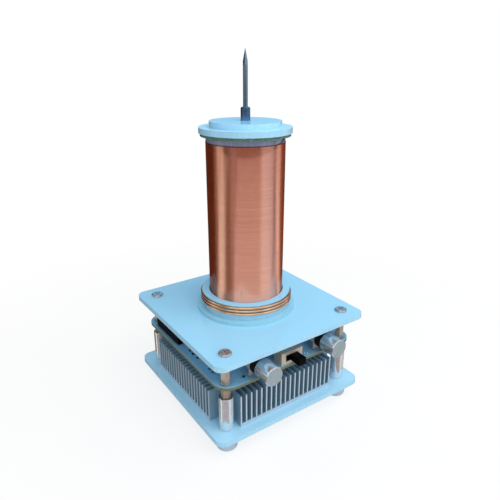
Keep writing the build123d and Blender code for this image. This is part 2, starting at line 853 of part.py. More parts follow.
def beside_end(out, on, height):
    """Point by the coil's ends: so far out, so far on along the turns, and at a height."""
    return OUTWARD * out + ONWARD * on + UP * height


def turn_point(half_turns, height):
    """Point on the turns, so many half turns on from their start."""
    return OUTWARD * (primary_radius * (1 - 2 * (half_turns % 2))) + UP * height


def biarc(start, start_way, end, end_way):
    """Two arcs that leave start along start_way, meet smoothly, and reach end along end_way."""
    chord = end - start
    ways = start_way + end_way
    spread = 2 * (1 - start_way.dot(end_way))
    along = chord.dot(ways)
    reach = (sqrt(along ** 2 + spread * chord.dot(chord)) - along) / spread
    first = start + start_way * reach
    second = end - end_way * reach
    middle = (first + second) * 0.5
    return [TangentArc(start, middle, tangent=start_way),
            TangentArc(middle, end, tangent=second - first)]


def primary_path():
    """Up through the plates, out of the former's slot, round every turn, and down again.

    Each turn runs level for its first half and comes down by one pitch over its second half.
    """
    corner = primary_radius - primary_corner_bend
    side = -primary_corner_bend
    rise_end = beside_end(dip_reach, side, primary_high - primary_dip_bend)
    dip_end = beside_end(corner, side, primary_high)
    path = [Line(beside_end(dip_reach, side, board_top), rise_end),
            TangentArc(rise_end, dip_end, tangent=UP),
            TangentArc(dip_end, turn_point(0, primary_high), tangent=OUTWARD)]
    height = primary_high
    for turn in range(primary_turns):
        lower = height - primary_pitch
        path += biarc(turn_point(0, height), ONWARD, turn_point(1, height), ONWARD * -1)
        path += biarc(turn_point(1, height), ONWARD * -1, turn_point(2, lower), ONWARD)
        height = lower
    drop = beside_end(primary_radius, primary_end_bend, height - primary_end_bend)
    path += [TangentArc(turn_point(0, height), drop, tangent=ONWARD),
             Line(drop, beside_end(primary_radius, primary_end_bend, board_top))]
    return Wire(path)


def least_gap(path, wire):
    """Smallest clear distance between stretches of a wound wire that aren't neighbours."""
    count = int(path.length)
    apart = int(6 * wire)
    points = [path.position_at(number / count) for number in range(count + 1)]
    places = [(point.X, point.Y, point.Z) for point in points]
    least = path.length
    for number, (x, y, z) in enumerate(places):
        for other_x, other_y, other_z in places[number + apart:]:
            least = min(least, hypot(x - other_x, y - other_y, z - other_z))
    return least - wire


def primary_winding():
    """Bare copper wire, wound over the former in one unbroken tube."""
    path = primary_path()
    section = Plane(origin=path.position_at(0), z_dir=path.tangent_at(0)) * Circle(primary_wire / 2)
    tube = sweep(section, path=path)
    expected = path.length * pi * (primary_wire / 2) ** 2
    print(f"primary turns {primary_turns}, wire length {path.length:.1f}, "
          f"least gap {least_gap(path, primary_wire):.3f}, volume ratio {tube.volume / expected:.4f}")
    return tube


def wire_holes():
    """Holes in the top plate and the coil disc for the primary's ends and the earth lead."""
    radius = primary_wire / 2 + wire_hole_gap
    inner = beside_end(dip_reach, -primary_corner_bend, 0)
    outer = beside_end(primary_radius, primary_end_bend, 0)
    earth = (tube_bore - earth_lead_inset, 0.0, earth_lead_radius + wire_hole_gap)
    return [(inner.X, inner.Y, radius), (outer.X, outer.Y, radius), earth]


def coil_disc():
    """Flat disc between the top plate and both coils."""
    base = disc(coil_disc_radius, deck_top, disc_top)
    for x, y, radius in wire_holes():
        base -= disc(radius, deck_top, disc_top, x, y)
    return base


def primary_former():
    """Ring that carries the primary turns, with a thin lip above and a slot for the wire."""
    former = disc(former_radius, disc_top, former_shoulder)
    former += disc(former_radius + former_lip, former_shoulder, former_shoulder + former_lip)
    former -= disc(former_bore, disc_top, former_shoulder + former_lip)
    slot_inner = former_bore + former_slot_web
    slot_length_out = former_radius + former_lip - slot_inner
    slot = Box(slot_length_out, former_slot_width, former_shoulder - disc_top, align=UPRIGHT)
    middle = beside_end(slot_inner + slot_length_out / 2, -primary_corner_bend, disc_top)
    return former - Pos(middle) * Rot(0, 0, primary_end_angle) * slot


# ---------------------------------------------------------------- secondary coil

def secondary_tube():
    """Plain tube that carries the fine winding, with a hole for the earth lead."""
    tube = ring(tube_radius, tube_bore, tube_bottom, tube_top)
    hole = Rot(0, 90, 0) * Cylinder(earth_lead_radius + earth_hole_gap, 2 * tube_radius, align=UPRIGHT)
    return tube - Pos(0, 0, tube_bottom + earth_lead_rise) * hole


def secondary_winding():
    """Hundreds of close turns of hair-fine wire in one layer, which stand as a thin sleeve."""
    return ring(winding_radius, winding_inner, winding_bottom, winding_top)


def earth_lead():
    """Insulated lead from the board, up inside the tube and out to the foot of the winding."""
    upright = tube_bore - earth_lead_inset
    level = tube_bottom + earth_lead_rise
    route = FilletPolyline((upright, 0, board_top), (upright, 0, level),
                           (tube_radius, 0, level), radius=earth_lead_bend)
    section = Plane(origin=(upright, 0, board_top), z_dir=(0, 0, 1)) * Circle(earth_lead_radius)
    return sweep(section, path=route)


# ---------------------------------------------------------------- head of the coil

def head_disc(radius, bottom, thickness):
    return ring(radius, stud_radius + hole_clearance, bottom, bottom + thickness)


def cap_screw():
    """Screw from inside the tube, up through the three discs into the hexagon."""
    shank = small_cap_top - tube_top + cap_screw_bite
    screw = pan_screw(plate_head_radius, plate_head_height, stud_radius, shank)
    return Pos(0, 0, tube_top) * Rot(180, 0, 0) * screw


def head_hex():
    """Hexagonal holder with a bevelled shoulder, threaded at both ends."""
    holder = hexagon(small_cap_top, head_hex_top, head_hex_turn)
    corner = hex_width / sqrt(3)
    height = head_hex_top - small_cap_top
    bevel = Cylinder(corner, height - head_hex_shoulder, align=UPRIGHT)
    bevel += Pos(0, 0, height - head_hex_shoulder) * Cone(
        corner, corner - head_hex_shoulder, head_hex_shoulder, align=UPRIGHT)
    holder &= Pos(0, 0, small_cap_top) * bevel
    return holder - disc(stud_radius + thread_clearance, small_cap_top, head_hex_top)


def spike():
    """Round steel spike, screwed into the hexagon, with a four-sided point."""
    shaft = disc(spike_radius, head_hex_top - spike_bite, spike_shoulder)
    wide = Plane(origin=(0, 0, spike_shoulder)) * Rectangle(2 * spike_radius, 2 * spike_radius)
    tip = Plane(origin=(0, 0, spike_tip)) * Rectangle(spike_tip_side, spike_tip_side)
    point = loft([wide, tip]) & disc(spike_radius, spike_shoulder, spike_tip)
    return shaft + point


# ---------------------------------------------------------------- writing the nodes

def write_stand():
    save("rubber_feet", *at_corners(rubber_foot(), post_offset))
    save("foot_screws", *at_corners(foot_screw(), post_offset))
    save("base_plate", base_plate())
    save("support_posts", *at_corners(support_post(), post_offset))
    save("hex_spacers", *at_corners(hex_spacer(), post_offset))
    save("standoff_washers", *at_corners(washer(), post_offset))
    save("hex_standoffs", *at_corners(standoff(), post_offset))
    save("top_plate", top_plate())
    save("top_plate_screws", *at_corners(plate_screw(), post_offset))


def write_heat_sink():
    save("heat_sink", heat_sink())
    screw = sink_screw()
    save("heat_sink_screws", *[Pos(x, y, 0) * screw for x, y in sink_places()])
    save("thermal_pads", *[thermal_pad(x) for x in transistor_middles()])
    save("power_transistors", *[transistor(x) for x in transistor_middles()])
    save("transistor_leads", *[transistor_lead(x) for x, _ in transistor_lead_places()])
    save("transistor_screws", *[transistor_screw(x) for x in transistor_middles()])


def write_controls():
    save("pot_brackets", *[pot_bracket(x) for x in pot_middles()])
    save("pot_housings", *[pot_housing(x) for x in pot_middles()])
    save("pot_bushes", *[pot_bush(x) for x in pot_middles()])
    save("pot_pins", *pins(pot_pin_places(), board_top + housing_lift))
    for side, x in zip(("left", "right"), pot_middles()):
        save(f"{side}_pot_shaft", pot_shaft(x))
        save(f"{side}_pot_rotor", pot_rotor(x))
        save(f"{side}_knob_core", knob_core(x))
        save(f"{side}_knob", knob(x, marked=side == "right"))
    save("switch_shell", switch_shell())
    save("switch_insulator", switch_insulator())
    save("switch_pins", *pins(switch_pin_places(), board_top + insulator_gap))
    save("switch_shuttle", switch_shuttle())
    save("switch_lever", switch_lever())


def write_board():
    save("circuit_board", circuit_board())
    save("header_socket", header_socket())
    save("header_pins", *pins(header_places(), board_top))
    save("power_jack", power_jack())
    save("power_jack_pin", power_jack_pin())
    save("audio_jack", audio_jack())
    save("jack_pins", *pins(power_jack_pin_places() + audio_jack_pin_places(), board_top))
    save("electrolytic_capacitor", electrolytic_capacitor())
    save("film_capacitor", film_capacitor())
    save("capacitor_leads", *pins(capacitor_lead_places(), board_top))
    save("driver_chips", *[driver_chip(*place) for place in chip_places])


def write_coils():
    save("coil_disc", coil_disc())
    save("primary_former", primary_former())
    save("primary_winding", primary_winding())
    save("secondary_tube", secondary_tube())
    save("secondary_winding", secondary_winding())
    save("earth_lead", earth_lead())
    save("output_board", head_disc(output_board_radius, tube_top, output_board_thickness))
    save("large_cap_disc", head_disc(large_cap_radius, output_board_top, cap_thickness))
    save("small_cap_disc", head_disc(small_cap_radius, large_cap_top, cap_thickness))
    save("cap_screw", cap_screw())
    save("head_hex", head_hex())
    save("discharge_spike", spike())


os.makedirs("parts", exist_ok=True)
write_stand()
write_heat_sink()
write_controls()
write_board()
write_coils()
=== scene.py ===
"""Looks of the desktop resonant transformer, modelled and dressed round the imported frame.

The file is laid out as an add-on: settings, one operator for each group of pieces and one for the
stage, and a panel that lists them. Run as a script, it builds everything once.
All lengths are in metres, in the frame's own axes: +Z up, with the controls facing -Y.
"""

from math import cos, radians, sin

import bpy
import numpy as np
from bpy.props import FloatProperty, FloatVectorProperty, IntProperty, PointerProperty
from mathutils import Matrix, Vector


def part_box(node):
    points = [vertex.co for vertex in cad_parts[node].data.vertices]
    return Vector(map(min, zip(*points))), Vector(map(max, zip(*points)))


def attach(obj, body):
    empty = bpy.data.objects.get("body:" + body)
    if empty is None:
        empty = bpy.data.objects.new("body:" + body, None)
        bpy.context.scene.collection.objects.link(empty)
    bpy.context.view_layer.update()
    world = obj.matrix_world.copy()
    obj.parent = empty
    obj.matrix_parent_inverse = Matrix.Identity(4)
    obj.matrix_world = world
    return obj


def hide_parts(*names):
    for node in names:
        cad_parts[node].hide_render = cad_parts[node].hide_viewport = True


bl_info = {
    "name": "Desktop Resonant Transformer",
    "version": (1, 0, 0),
    "blender": (4, 5, 0),
    "location": "View3D > Sidebar > Transformer",
    "description": "Models, dresses and lights the desktop resonant transformer",
    "category": "Object",
}

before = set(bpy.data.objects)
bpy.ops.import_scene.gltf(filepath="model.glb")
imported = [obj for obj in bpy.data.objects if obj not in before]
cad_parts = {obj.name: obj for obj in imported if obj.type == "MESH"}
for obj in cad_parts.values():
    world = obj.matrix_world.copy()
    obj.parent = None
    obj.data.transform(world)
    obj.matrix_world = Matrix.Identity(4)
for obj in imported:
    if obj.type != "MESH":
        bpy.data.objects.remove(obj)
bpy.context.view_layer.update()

MM = 0.001
FAR = 1.0                   # a metre, past any piece
LEVEL_SLACK = 0.02 * MM     # points this close in height are level
PIN_WIDTH = 1.2 * MM        # over the width of a pin, and short of the next pin
CREASE = radians(38)        # an edge whose faces turn by more stays sharp
NOISE_LOW, NOISE_HIGH = 0.3, 0.7    # noise keeps between these nearly everywhere


# ---------------------------------------------------------------- places, read from the frame

def box(node):
    """Lowest and highest corner of a node of the frame."""
    low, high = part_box(node)
    return np.array(low), np.array(high)


def corners(node, end):
    """The points of a node that lie at its lower (0) or upper (1) end, each once, in plan."""
    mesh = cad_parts[node].data
    points = np.empty(3 * len(mesh.vertices))
    mesh.vertices.foreach_get("co", points)
    points = points.reshape(-1, 3)
    level = box(node)[end][2]
    at_end = points[abs(points[:, 2] - level) < LEVEL_SLACK]
    return np.unique(at_end[:, :2].round(5), axis=0)


def pin_places(node, end=0):
    """Middles in plan of a node's upright pins: corners closer than a pin is wide are one pin's."""
    found = corners(node, end)
    apart = np.linalg.norm(found[:, None] - found[None], axis=2)
    first = (apart < PIN_WIDTH).argmax(axis=1)
    return np.array([found[first == one].mean(axis=0) for one in np.unique(first)])


coil_axis = sum(box("secondary_tube"))[:2] / 2
board_bottom, board_top = (corner[2] for corner in box("circuit_board"))


def on_board(*places):
    """Points in plan, given in millimetres from the coil's axis, in the frame's metres."""
    return np.array(places, float).reshape(-1, 2) * MM + coil_axis


# ---------------------------------------------------------------- settings

def linear(hex_colour):
    """Linear colour with its alpha, from an sRGB hex value."""
    srgb = np.array([int(hex_colour[start:start + 2], 16) for start in (0, 2, 4)]) / 255
    rgb = np.where(srgb <= 0.04045, srgb / 12.92, ((srgb + 0.055) / 1.055) ** 2.4)
    return (*rgb.tolist(), 1.0)


def paler(base, white):
    """A linear colour moved towards white by a share."""
    return (*(part * (1 - white) + white for part in base[:3]), 1.0)


def colour(name, description, hex_colour):
    """Colour setting with an sRGB hex value as its default."""
    return FloatVectorProperty(name=name, description=description, default=linear(hex_colour),
                               size=4, subtype="COLOR", min=0.0, max=1.0)


def length(name, description, millimetres):
    """Length setting with a default in millimetres."""
    return FloatProperty(name=name, description=description, default=millimetres * MM,
                         min=0.0, unit="LENGTH", precision=5)


class WindingSettings(bpy.types.PropertyGroup):
    """Sizes of the windings."""

    wire_pitch: length("Wire pitch", "Height of one turn of the secondary winding", 0.25)
    ridge: length("Ridge", "How far each turn stands out from the groove beside it", 0.085)
    facets: IntProperty(name="Facets", description="Steps in each turn", default=64, min=16, max=64)
    tail_width: length("Tail", "Thickness of the wire that leaves the winding", 0.3)


class BoardSettings(bpy.types.PropertyGroup):
    """Sizes of what is printed, etched and soldered on the circuit board."""

    track_width: length("Track width", "Width of a signal track", 0.55)
    power_width: length("Power width", "Width of a track that carries the supply", 2.2)
    track_thickness: length("Track thickness", "How far a track stands up under the mask", 0.05)
    ink_width: length("Ink width", "Width of a printed line", 0.2)
    ink_thickness: length("Ink thickness", "Thickness of the print", 0.02)
    solder_radius: length("Solder radius", "Foot of a solder joint", 0.95)
    solder_height: length("Solder height", "Height of a solder joint", 1.2)


class FinishSettings(bpy.types.PropertyGroup):
    """Colours of the finishes."""

    acrylic: colour("Acrylic", "Faces of the top plate and the former", "A0DCFC")
    acrylic_edge: colour("Acrylic edge", "Cut edges of the acrylic", "92C4DC")
    # The base plate's acrylic is painted paler than the top plate's, as painted light against the
    # shade of the top plate over it.
    base: colour("Base plate", "Faces of the plate under the heat sink", "AEE3FF")
    cap: colour("Cap", "Faces of the small cap disc", "9AD2F0")
    # The large cap is painted paler than the small one, as painted light against the small cap's
    # shade on it.
    large_cap: colour("Large cap", "Faces of the large cap disc", "B4E8FF")
    cap_edge: colour("Cap edge", "Cut edge of the large cap disc", "8CBED8")
    sink_end: colour("Heat sink ends", "Sawn ends of the fins", "C0CED8")
    # The walls' darker tone is painted shade between the fins.
    painted_shade_sink_wall: colour("Heat sink walls", "Walls between the fins, painted darker as shade", "80A4B6")
    disc: colour("Coil disc", "Disc under the coils", "9AD6F0")
    enamel: colour("Enamelled copper", "Wire of the secondary winding", "ECB8A4")
    copper: colour("Bare copper", "Wire of the primary winding", "FCCFA8")
    aluminium: colour("Aluminium", "Knobs, shafts and posts", "E4EAEC")
    brass: colour("Plated brass", "Hexagonal spacers and standoffs", "B8A898")
    zinc: colour("Zinc plate", "Screws", "C6CBD2")
    sheet: colour("Sheet steel", "Brackets and switch shell", "D2C4B2")
    steel: colour("Dark steel", "Discharge spike", "68869A")
    hex_steel: colour("Holder steel", "Hexagonal holder of the spike", "4680B4")
    mask: colour("Solder mask", "Faces of the circuit board", "76AAC8")
    rim: colour("Board rim", "Bare margin of the circuit board", "8CC4DE")
    laminate: colour("Laminate", "Edges of the circuit board", "565C44")
    cap_board: colour("Output board", "Board under the caps", "142E26")
    # The tube's dark grey-lavender is painted shade, as the tube looks under the caps.
    tube: colour("Tube", "Tube of the secondary coil", "6A7086")
    rubber: colour("Rubber", "Feet", "A0AEB6")
    black: colour("Black", "Washers of the standoffs", "15161A")


class StageSettings(bpy.types.PropertyGroup):
    """Camera and light."""

    azimuth: FloatProperty(name="Azimuth", description="Camera's way round the object",
                           default=radians(-34.777), subtype="ANGLE")
    elevation: FloatProperty(name="Elevation", description="Camera's height over the horizon",
                             default=radians(21.009), subtype="ANGLE")
    distance: length("Distance", "Camera to the point that it looks at", 277.25)
    target: FloatVectorProperty(name="Target", description="Point that the camera looks at",
                                default=(1.92 * MM, 2.47 * MM, 91.5 * MM), unit="LENGTH")
    lens: FloatProperty(name="Lens", description="Focal length on a 36 mm sensor",
                        default=34.32, min=1.0, unit="CAMERA")
    ambient: FloatProperty(name="Ambient", description="Even light from all round",
                           default=0.62, min=0.0)
    overhead: FloatProperty(name="Overhead", description="Power of the lamp above",
                            default=1.8, min=0.0, unit="POWER")
    side: FloatProperty(name="Side", description="Power of the lamp beside the camera",
                        default=2.4, min=0.0, unit="POWER")


# ---------------------------------------------------------------- surfaces

def sweep_faces(rows, columns):
    """Faces of a closed section carried along a path: quads round it and one face over each end."""
    row, column = np.meshgrid(np.arange(rows - 1), np.arange(columns), indexing="ij")
    following = (column + 1) % columns
    quads = np.stack([row * columns + column, row * columns + following,
                      (row + 1) * columns + following, (row + 1) * columns + column], axis=-1)
    start = list(range(columns - 1, -1, -1))
    end = list(range((rows - 1) * columns, rows * columns))
    return quads.reshape(-1, 4).tolist() + [start, end]


def gather(parts):
    """One surface from several: their points joined, and their faces numbered on."""
    firsts = np.cumsum([0] + [len(points) for points, _ in parts])
    points = np.concatenate([points for points, _ in parts])
    faces = [[index + int(first) for index in face]
             for first, (_, own) in zip(firsts, parts) for face in own]
    return points, faces


def revolve(profile, places, sides=24):
    """Round pieces: each (radius, height) of the profile is carried round an upright circle.

    A point is (x + r cos a, y + r sin a, z + h) for each place (x, y, z), angle a and profile
    point (r, h). The profile runs upwards.
    """
    radius, height = np.array(profile, float).T
    angle = np.arange(sides) * 2 * np.pi / sides
    ring = np.stack([np.outer(radius, np.cos(angle)), np.outer(radius, np.sin(angle)),
                     np.outer(height, np.ones(sides))], axis=-1).reshape(-1, 3)
    faces = sweep_faces(len(radius), sides)
    return gather([(ring + np.array(place), faces) for place in places])


def tube(path, outward, radius, sides=12):
    """Round wire along a path: at each point a circle square to the path.

    The circle's first axis is the given outward way less its share along the path, and its
    second axis is square to both.
    """
    along = np.gradient(path, axis=0)
    along /= np.linalg.norm(along, axis=1, keepdims=True)
    first = outward - (outward * along).sum(axis=1, keepdims=True) * along
    first /= np.linalg.norm(first, axis=1, keepdims=True)
    second = np.cross(along, first)
    angle = np.arange(sides) * 2 * np.pi / sides
    rings = (path[:, None] + radius * np.cos(angle)[None, :, None] * first[:, None]
             + radius * np.sin(angle)[None, :, None] * second[:, None])
    return rings.reshape(-1, 3), sweep_faces(len(path), sides)


def strip(route, width, low, thickness):
    """Flat strip along a route in plan, with its corners mitred.

    At each point the section is a rectangle set across the mean of the two runs, and as much
    wider than the strip as the mitre needs.
    """
    route = np.asarray(route, float)
    way = np.diff(route, axis=0)
    way /= np.linalg.norm(way, axis=1, keepdims=True)
    before = np.vstack([way[:1], way])
    after = np.vstack([way, way[-1:]])
    mitre = before + after
    mitre /= np.linalg.norm(mitre, axis=1, keepdims=True)
    across = np.stack([-mitre[:, 1], mitre[:, 0]], axis=1)
    reach = width / 2 / (mitre * before).sum(axis=1, keepdims=True)
    left = route + across * reach
    right = route - across * reach
    heights = (low, low + thickness, low + thickness, low)
    section = [np.column_stack([side, np.full(len(route), height)])
               for side, height in zip((left, left, right, right), heights)]
    return np.stack(section, axis=1).reshape(-1, 3), sweep_faces(len(route), 4)


def blocks(middles, sizes):
    """Blocks: the eight corners of a unit cube, stretched to each size and set at each middle."""
    middles = np.asarray(middles, float)
    sizes = np.asarray(sizes, float)
    corner = np.array([[x, y, z] for x in (-0.5, 0.5) for y in (-0.5, 0.5) for z in (-0.5, 0.5)])
    points = middles[:, None] + corner * sizes[:, None]
    sides = np.array([[0, 1, 3, 2], [4, 6, 7, 5], [0, 4, 5, 1], [2, 3, 7, 6], [0, 2, 6, 4],
                      [1, 5, 7, 3]])
    faces = sides + 8 * np.arange(len(middles))[:, None, None]
    return points.reshape(-1, 3), faces.reshape(-1, 4).tolist()


def close_winding(inner, outer, low, high, pitch, ridge, facets):
    """Close-wound layer of wire: one ridge that climbs round and round, closed by an inner wall.

    On the outside, a point at angle a and share s across the wire lies at the radius
    outer - ridge + ridge sin(pi s) and at the height low + pitch (a / 2 pi + s). Points at s = 0
    and 1 of neighbouring turns are the same, so the whole outside is one unbroken sheet.
    """
    turns = max(2, round((high - low) / pitch)) - 1
    pitch = (high - low) / (turns + 1)
    steps = turns * facets
    groove = np.arange(steps + facets + 1)
    inside = np.concatenate([np.arange(facets + 1), np.arange(steps, steps + facets + 1)])

    def ring_points(step, share, radius):
        angle = step * 2 * np.pi / facets
        height = low + pitch * (step / facets + share)
        return np.column_stack([coil_axis[0] + radius * np.cos(angle),
                                coil_axis[1] + radius * np.sin(angle), height])

    crest = outer - ridge + ridge * sin(np.pi / 3)
    points = np.vstack([ring_points(groove, 0, outer - ridge),
                        ring_points(np.arange(steps + 1), 1 / 3, crest),
                        ring_points(np.arange(steps + 1), 2 / 3, crest),
                        ring_points(inside, 0, inner)])
    first = len(groove)
    second = first + steps + 1
    wall = second + steps + 1
    top = wall + facets + 1
    step = np.arange(steps)
    ring = np.arange(facets)

    def bands(*columns):
        return [np.column_stack([lower, lower + 1, upper + 1, upper])
                for lower, upper in zip(columns, columns[1:])]

    sheets = bands(step, first + step, second + step, step + facets)
    sheets.append(np.column_stack([ring, wall + ring, wall + ring + 1, ring + 1]))
    sheets.append(np.column_stack([steps + ring, steps + ring + 1, top + ring + 1, top + ring]))
    sheets.append(np.column_stack([wall + ring, top + ring, top + ring + 1,
                                   wall + ring + 1])[1:-1])
    faces = np.concatenate(sheets).tolist()
    last = wall + facets - 1
    faces.append([wall, wall + facets, top, top + 1, wall + 1])
    faces.append([last, top + facets - 1, top + facets, top, wall + facets])
    faces.append([0, first, second, facets, wall + facets, wall])
    faces.append([steps, top, top + facets, steps + facets, second + steps, first + steps])
    return points, faces


def piece(name, surface, material, replaced=(), smooth=True):
    """A new piece of the chassis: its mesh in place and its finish."""
    points, faces = surface
    mesh = bpy.data.meshes.new(name)
    mesh.from_pydata(points, [], faces)
    mesh.materials.append(material)
    if smooth:
        mesh.shade_smooth()
        mesh.set_sharp_from_angle(angle=CREASE)
    made = bpy.data.objects.new(name, mesh)
    bpy.context.scene.collection.objects.link(made)
    if replaced:
        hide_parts(*replaced)
    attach(made, "chassis")


# ---------------------------------------------------------------- finishes

def feed(tree, node, inputs):
    """Sets a node's inputs, by name or number.

    A node's output is linked, a text is an sRGB hex colour, and anything else is set as it is.
    """
    for key, value in inputs.items():
        if isinstance(value, bpy.types.NodeSocket):
            tree.links.new(value, node.inputs[key])
        else:
            node.inputs[key].default_value = linear(value) if isinstance(value, str) else value


def add(tree, kind, inputs=None, **settings):
    """Adds one shader node, with its settings and links, and gives its outputs."""
    node = tree.nodes.new("ShaderNode" + kind)
    for name, value in settings.items():
        setattr(node, name, value)
    feed(tree, node, inputs or {})
    return node.outputs


def chain(tree, kind, value, *steps):
    """Passes a value through nodes of one kind, each with its operation and its other value."""
    for operation, *other in steps:
        outputs = add(tree, kind, dict(enumerate([value, *other])), operation=operation)
        value = next(output for output in outputs if output.enabled)
    return value


def begin(name):
    """A new material: itself, its tree and its shader."""
    material = bpy.data.materials.new(name)
    material.use_nodes = True
    tree = material.node_tree
    return material, tree, tree.nodes["Principled BSDF"]


def position(tree):
    """Where each point lies on the object, in metres in the frame."""
    return add(tree, "TexCoord")["Object"]


def grain(tree, size, low, high, detail=2.0, stretch=(1, 1, 1)):
    """Cloudy value between two limits, with features of a size in millimetres.

    A stretch under 1 draws the features out along that axis.
    """
    scaled = add(tree, "Mapping", {"Vector": position(tree), "Scale": stretch})[0]
    noise = add(tree, "TexNoise", {"Vector": scaled, "Scale": 1 / (size * MM), "Detail": detail})
    return add(tree, "MapRange", {"Value": noise["Fac"], "From Min": NOISE_LOW,
                                  "From Max": NOISE_HIGH, "To Min": low, "To Max": high})[0]


def relief(tree, depth, strength, size, detail=2.0, stretch=(1, 1, 1)):
    """Normal of a grained relief: its depth and the size of its features are in millimetres."""
    height = grain(tree, size, 0, 1, detail, stretch)
    return add(tree, "Bump", {"Height": height, "Distance": depth * MM, "Strength": strength})[0]


def laid(tree, base, *layers):
    """A colour or height with others laid over it in turn, each given as its share and itself."""
    for share, tone in layers:
        base = add(tree, "Mix", {0: share, 6: base, 7: tone}, data_type="RGBA")[2]
    return base


def facing(tree, way, start, end, either=False):
    """0 where a surface faces less than the start along a way, and 1 where more than the end.

    With either, a surface that faces against the way counts as one that faces along it.
    """
    normal = add(tree, "NewGeometry")["Normal"]
    turned = chain(tree, "VectorMath", normal, ("DOT_PRODUCT", way))
    if either:
        turned = chain(tree, "Math", turned, ("ABSOLUTE",))
    return add(tree, "MapRange", {"Value": turned, "From Min": start, "From Max": end})[0]


def flat_share(tree):
    """1 where a surface faces up or down, 0 where it is upright."""
    return facing(tree, (0, 0, 1), 0.6, 0.9, either=True)


def inset(tree, node, radius):
    """How far a point lies inside the outline of a node that is a rectangle with round corners.

    On each axis the way out is the distance from the middle less the straight half side. The
    inset is the radius, less the length of the ways out above 0, less the larger way out where
    both are below 0.
    """
    low, high = box(node)
    reach = (high - low) / 2 - radius
    reach[2] = FAR
    out = chain(tree, "VectorMath", position(tree), ("SUBTRACT", (low + high) / 2),
                ("ABSOLUTE",), ("SUBTRACT", reach))
    corner = chain(tree, "VectorMath", out, ("MAXIMUM", (0, 0, 0)), ("LENGTH",))
    axes = add(tree, "SeparateXYZ", {0: out})
    below = chain(tree, "Math", axes["X"], ("MAXIMUM", axes["Y"]), ("MINIMUM", 0))
    return chain(tree, "Math", radius, ("SUBTRACT", corner), ("SUBTRACT", below))


def plain_finish(name, base, other, cloud, rough, lines=None, **inputs):
    """A material whose colour runs from a base to another, with a roughness and a relief.

    cloud is the share of the other colour and rough the roughness, both as grain() takes them,
    and lines is the relief, as relief() takes it. The shader's other inputs are given by name.
    """
    material, tree, shader = begin(name)
    feed(tree, shader, {"Base Color": laid(tree, base, (grain(tree, *cloud), other)),
                        "Roughness": grain(tree, *rough), **inputs})
    if lines:
        feed(tree, shader, {"Normal": relief(tree, *lines)})
    return material


def cast_acrylic(name, face, edge):
    """Cast acrylic sheet, cut by laser.

    Milky and even, with satin faces that show faint wipe marks, and cut edges that look a little
    darker and finely ribbed from top to bottom.
    """
    material, tree, shader = begin(name)
    upright = (1, 1, 0.05)
    edge = laid(tree, edge, (grain(tree, 0.35, 0, 0.12, stretch=upright), "FFFFFF"))
    face = laid(tree, face, (grain(tree, 45, 0, 0.12, detail=1.0), "AEDFF6"))
    feed(tree, shader, {
        "Base Color": laid(tree, edge, (flat_share(tree), face)),
        "Roughness": grain(tree, 2.5, 0.14, 0.22, detail=4.0, stretch=(1, 0.15, 1)),
        "IOR": 1.49, "Specular IOR Level": 0.4,
        "Normal": relief(tree, 0.004, 0.25, 0.35, stretch=upright)})
    return material


def enamelled_copper(base, pitch):
    """Fine enamelled copper wire, close wound.

    The enamel is clear and reddish and the wire bright, so each turn draws a highlight out along
    the coil, and neighbouring turns differ faintly in shade.
    """
    material, tree, shader = begin("Enamelled copper wire")
    turns = grain(tree, 2.4 * pitch / MM, 0, 1, detail=3.0, stretch=(0.012, 0.012, 1))
    patches = grain(tree, 9, 0, 0.08, stretch=(1, 1, 0.4))
    dark = laid(tree, base, (0.12, "8A4630"))
    lengthwise = add(tree, "CombineXYZ", {"Z": 1.0})[0]
    feed(tree, shader, {
        "Base Color": laid(tree, dark, (turns, base), (patches, "E8A98C")), "Metallic": 1.0,
        "Tangent": lengthwise, "Anisotropic": 0.2, "Roughness": grain(tree, 6, 0.14, 0.18)})
    return material


def bare_copper(base):
    """Bare drawn copper wire: bright, with fine die lines along it and a little darker tarnish."""
    return plain_finish("Bare drawn copper wire", base, "C88468", cloud=(5, 0, 0.45, 4.0),
                        rough=(3, 0.14, 0.24), lines=(0.01, 0.3, 0.25, 2.0, (0.1, 0.1, 1)),
                        Metallic=1.0)


def clear_tube(base):
    """Extruded tube of plastic, glossy and faintly drawn along its length; its dull dark
    grey-lavender is painted shade, as under the caps.
    """
    drawn = (1, 1, 0.04)
    return plain_finish("Extruded tube", base, "A2A3BC", cloud=(0.6, 0, 0.25, 2.0, drawn),
                        rough=(8, 0.1, 0.2), lines=(0.01, 0.3, 0.6, 2.0, drawn), IOR=1.49)


def turned_aluminium(name, base, roughness):
    """Turned and polished aluminium: fine lathe lines round it, and soft streaky reflections."""
    material, tree, shader = begin(name)
    side = grain(tree, 2.5, 0, 0.25)
    feed(tree, shader, {
        "Base Color": laid(tree, base, (side, "B9BEC4"), (flat_share(tree), "77848E")),
        "Metallic": 0.75, "Roughness": grain(tree, 4, roughness * 0.8, roughness * 1.25),
        "Normal": relief(tree, 0.01, 0.35, 0.12, 1.0, (0.06, 1, 0.06))})
    return material


def brushed_knob(base):
    """Turned aluminium knob: drawn streaks along its side whose bluish tone is a painted
    reflection, and a satin face brushed straight.
    """
    material, tree, shader = begin("Brushed aluminium knob")
    face = facing(tree, (0, -1, 0), 0.8, 0.95)
    brush = grain(tree, 0.16, 0, 1, detail=3.0, stretch=(0.08, 1, 1))
    # Streaks along the side: in relief, and in colour a painted streaky reflection.
    streaks_and_painted_reflection = grain(tree, 1.6, 0, 1, detail=4.0, stretch=(1, 0.04, 1))
    face_colour = laid(tree, "AAB8BA", (brush, "C4D0D0"))
    height = laid(tree, streaks_and_painted_reflection, (face, brush))
    feed(tree, shader, {
        "Base Color": laid(tree, "A4BAC8", (streaks_and_painted_reflection, base), (face, face_colour)), "Metallic": 0.85,
        "Roughness": add(tree, "MapRange", {"Value": face, "To Min": 0.2, "To Max": 0.45})[0],
        "Normal": add(tree, "Bump", {"Height": height, "Distance": 0.012 * MM,
                                     "Strength": 0.4})[0]})
    return material


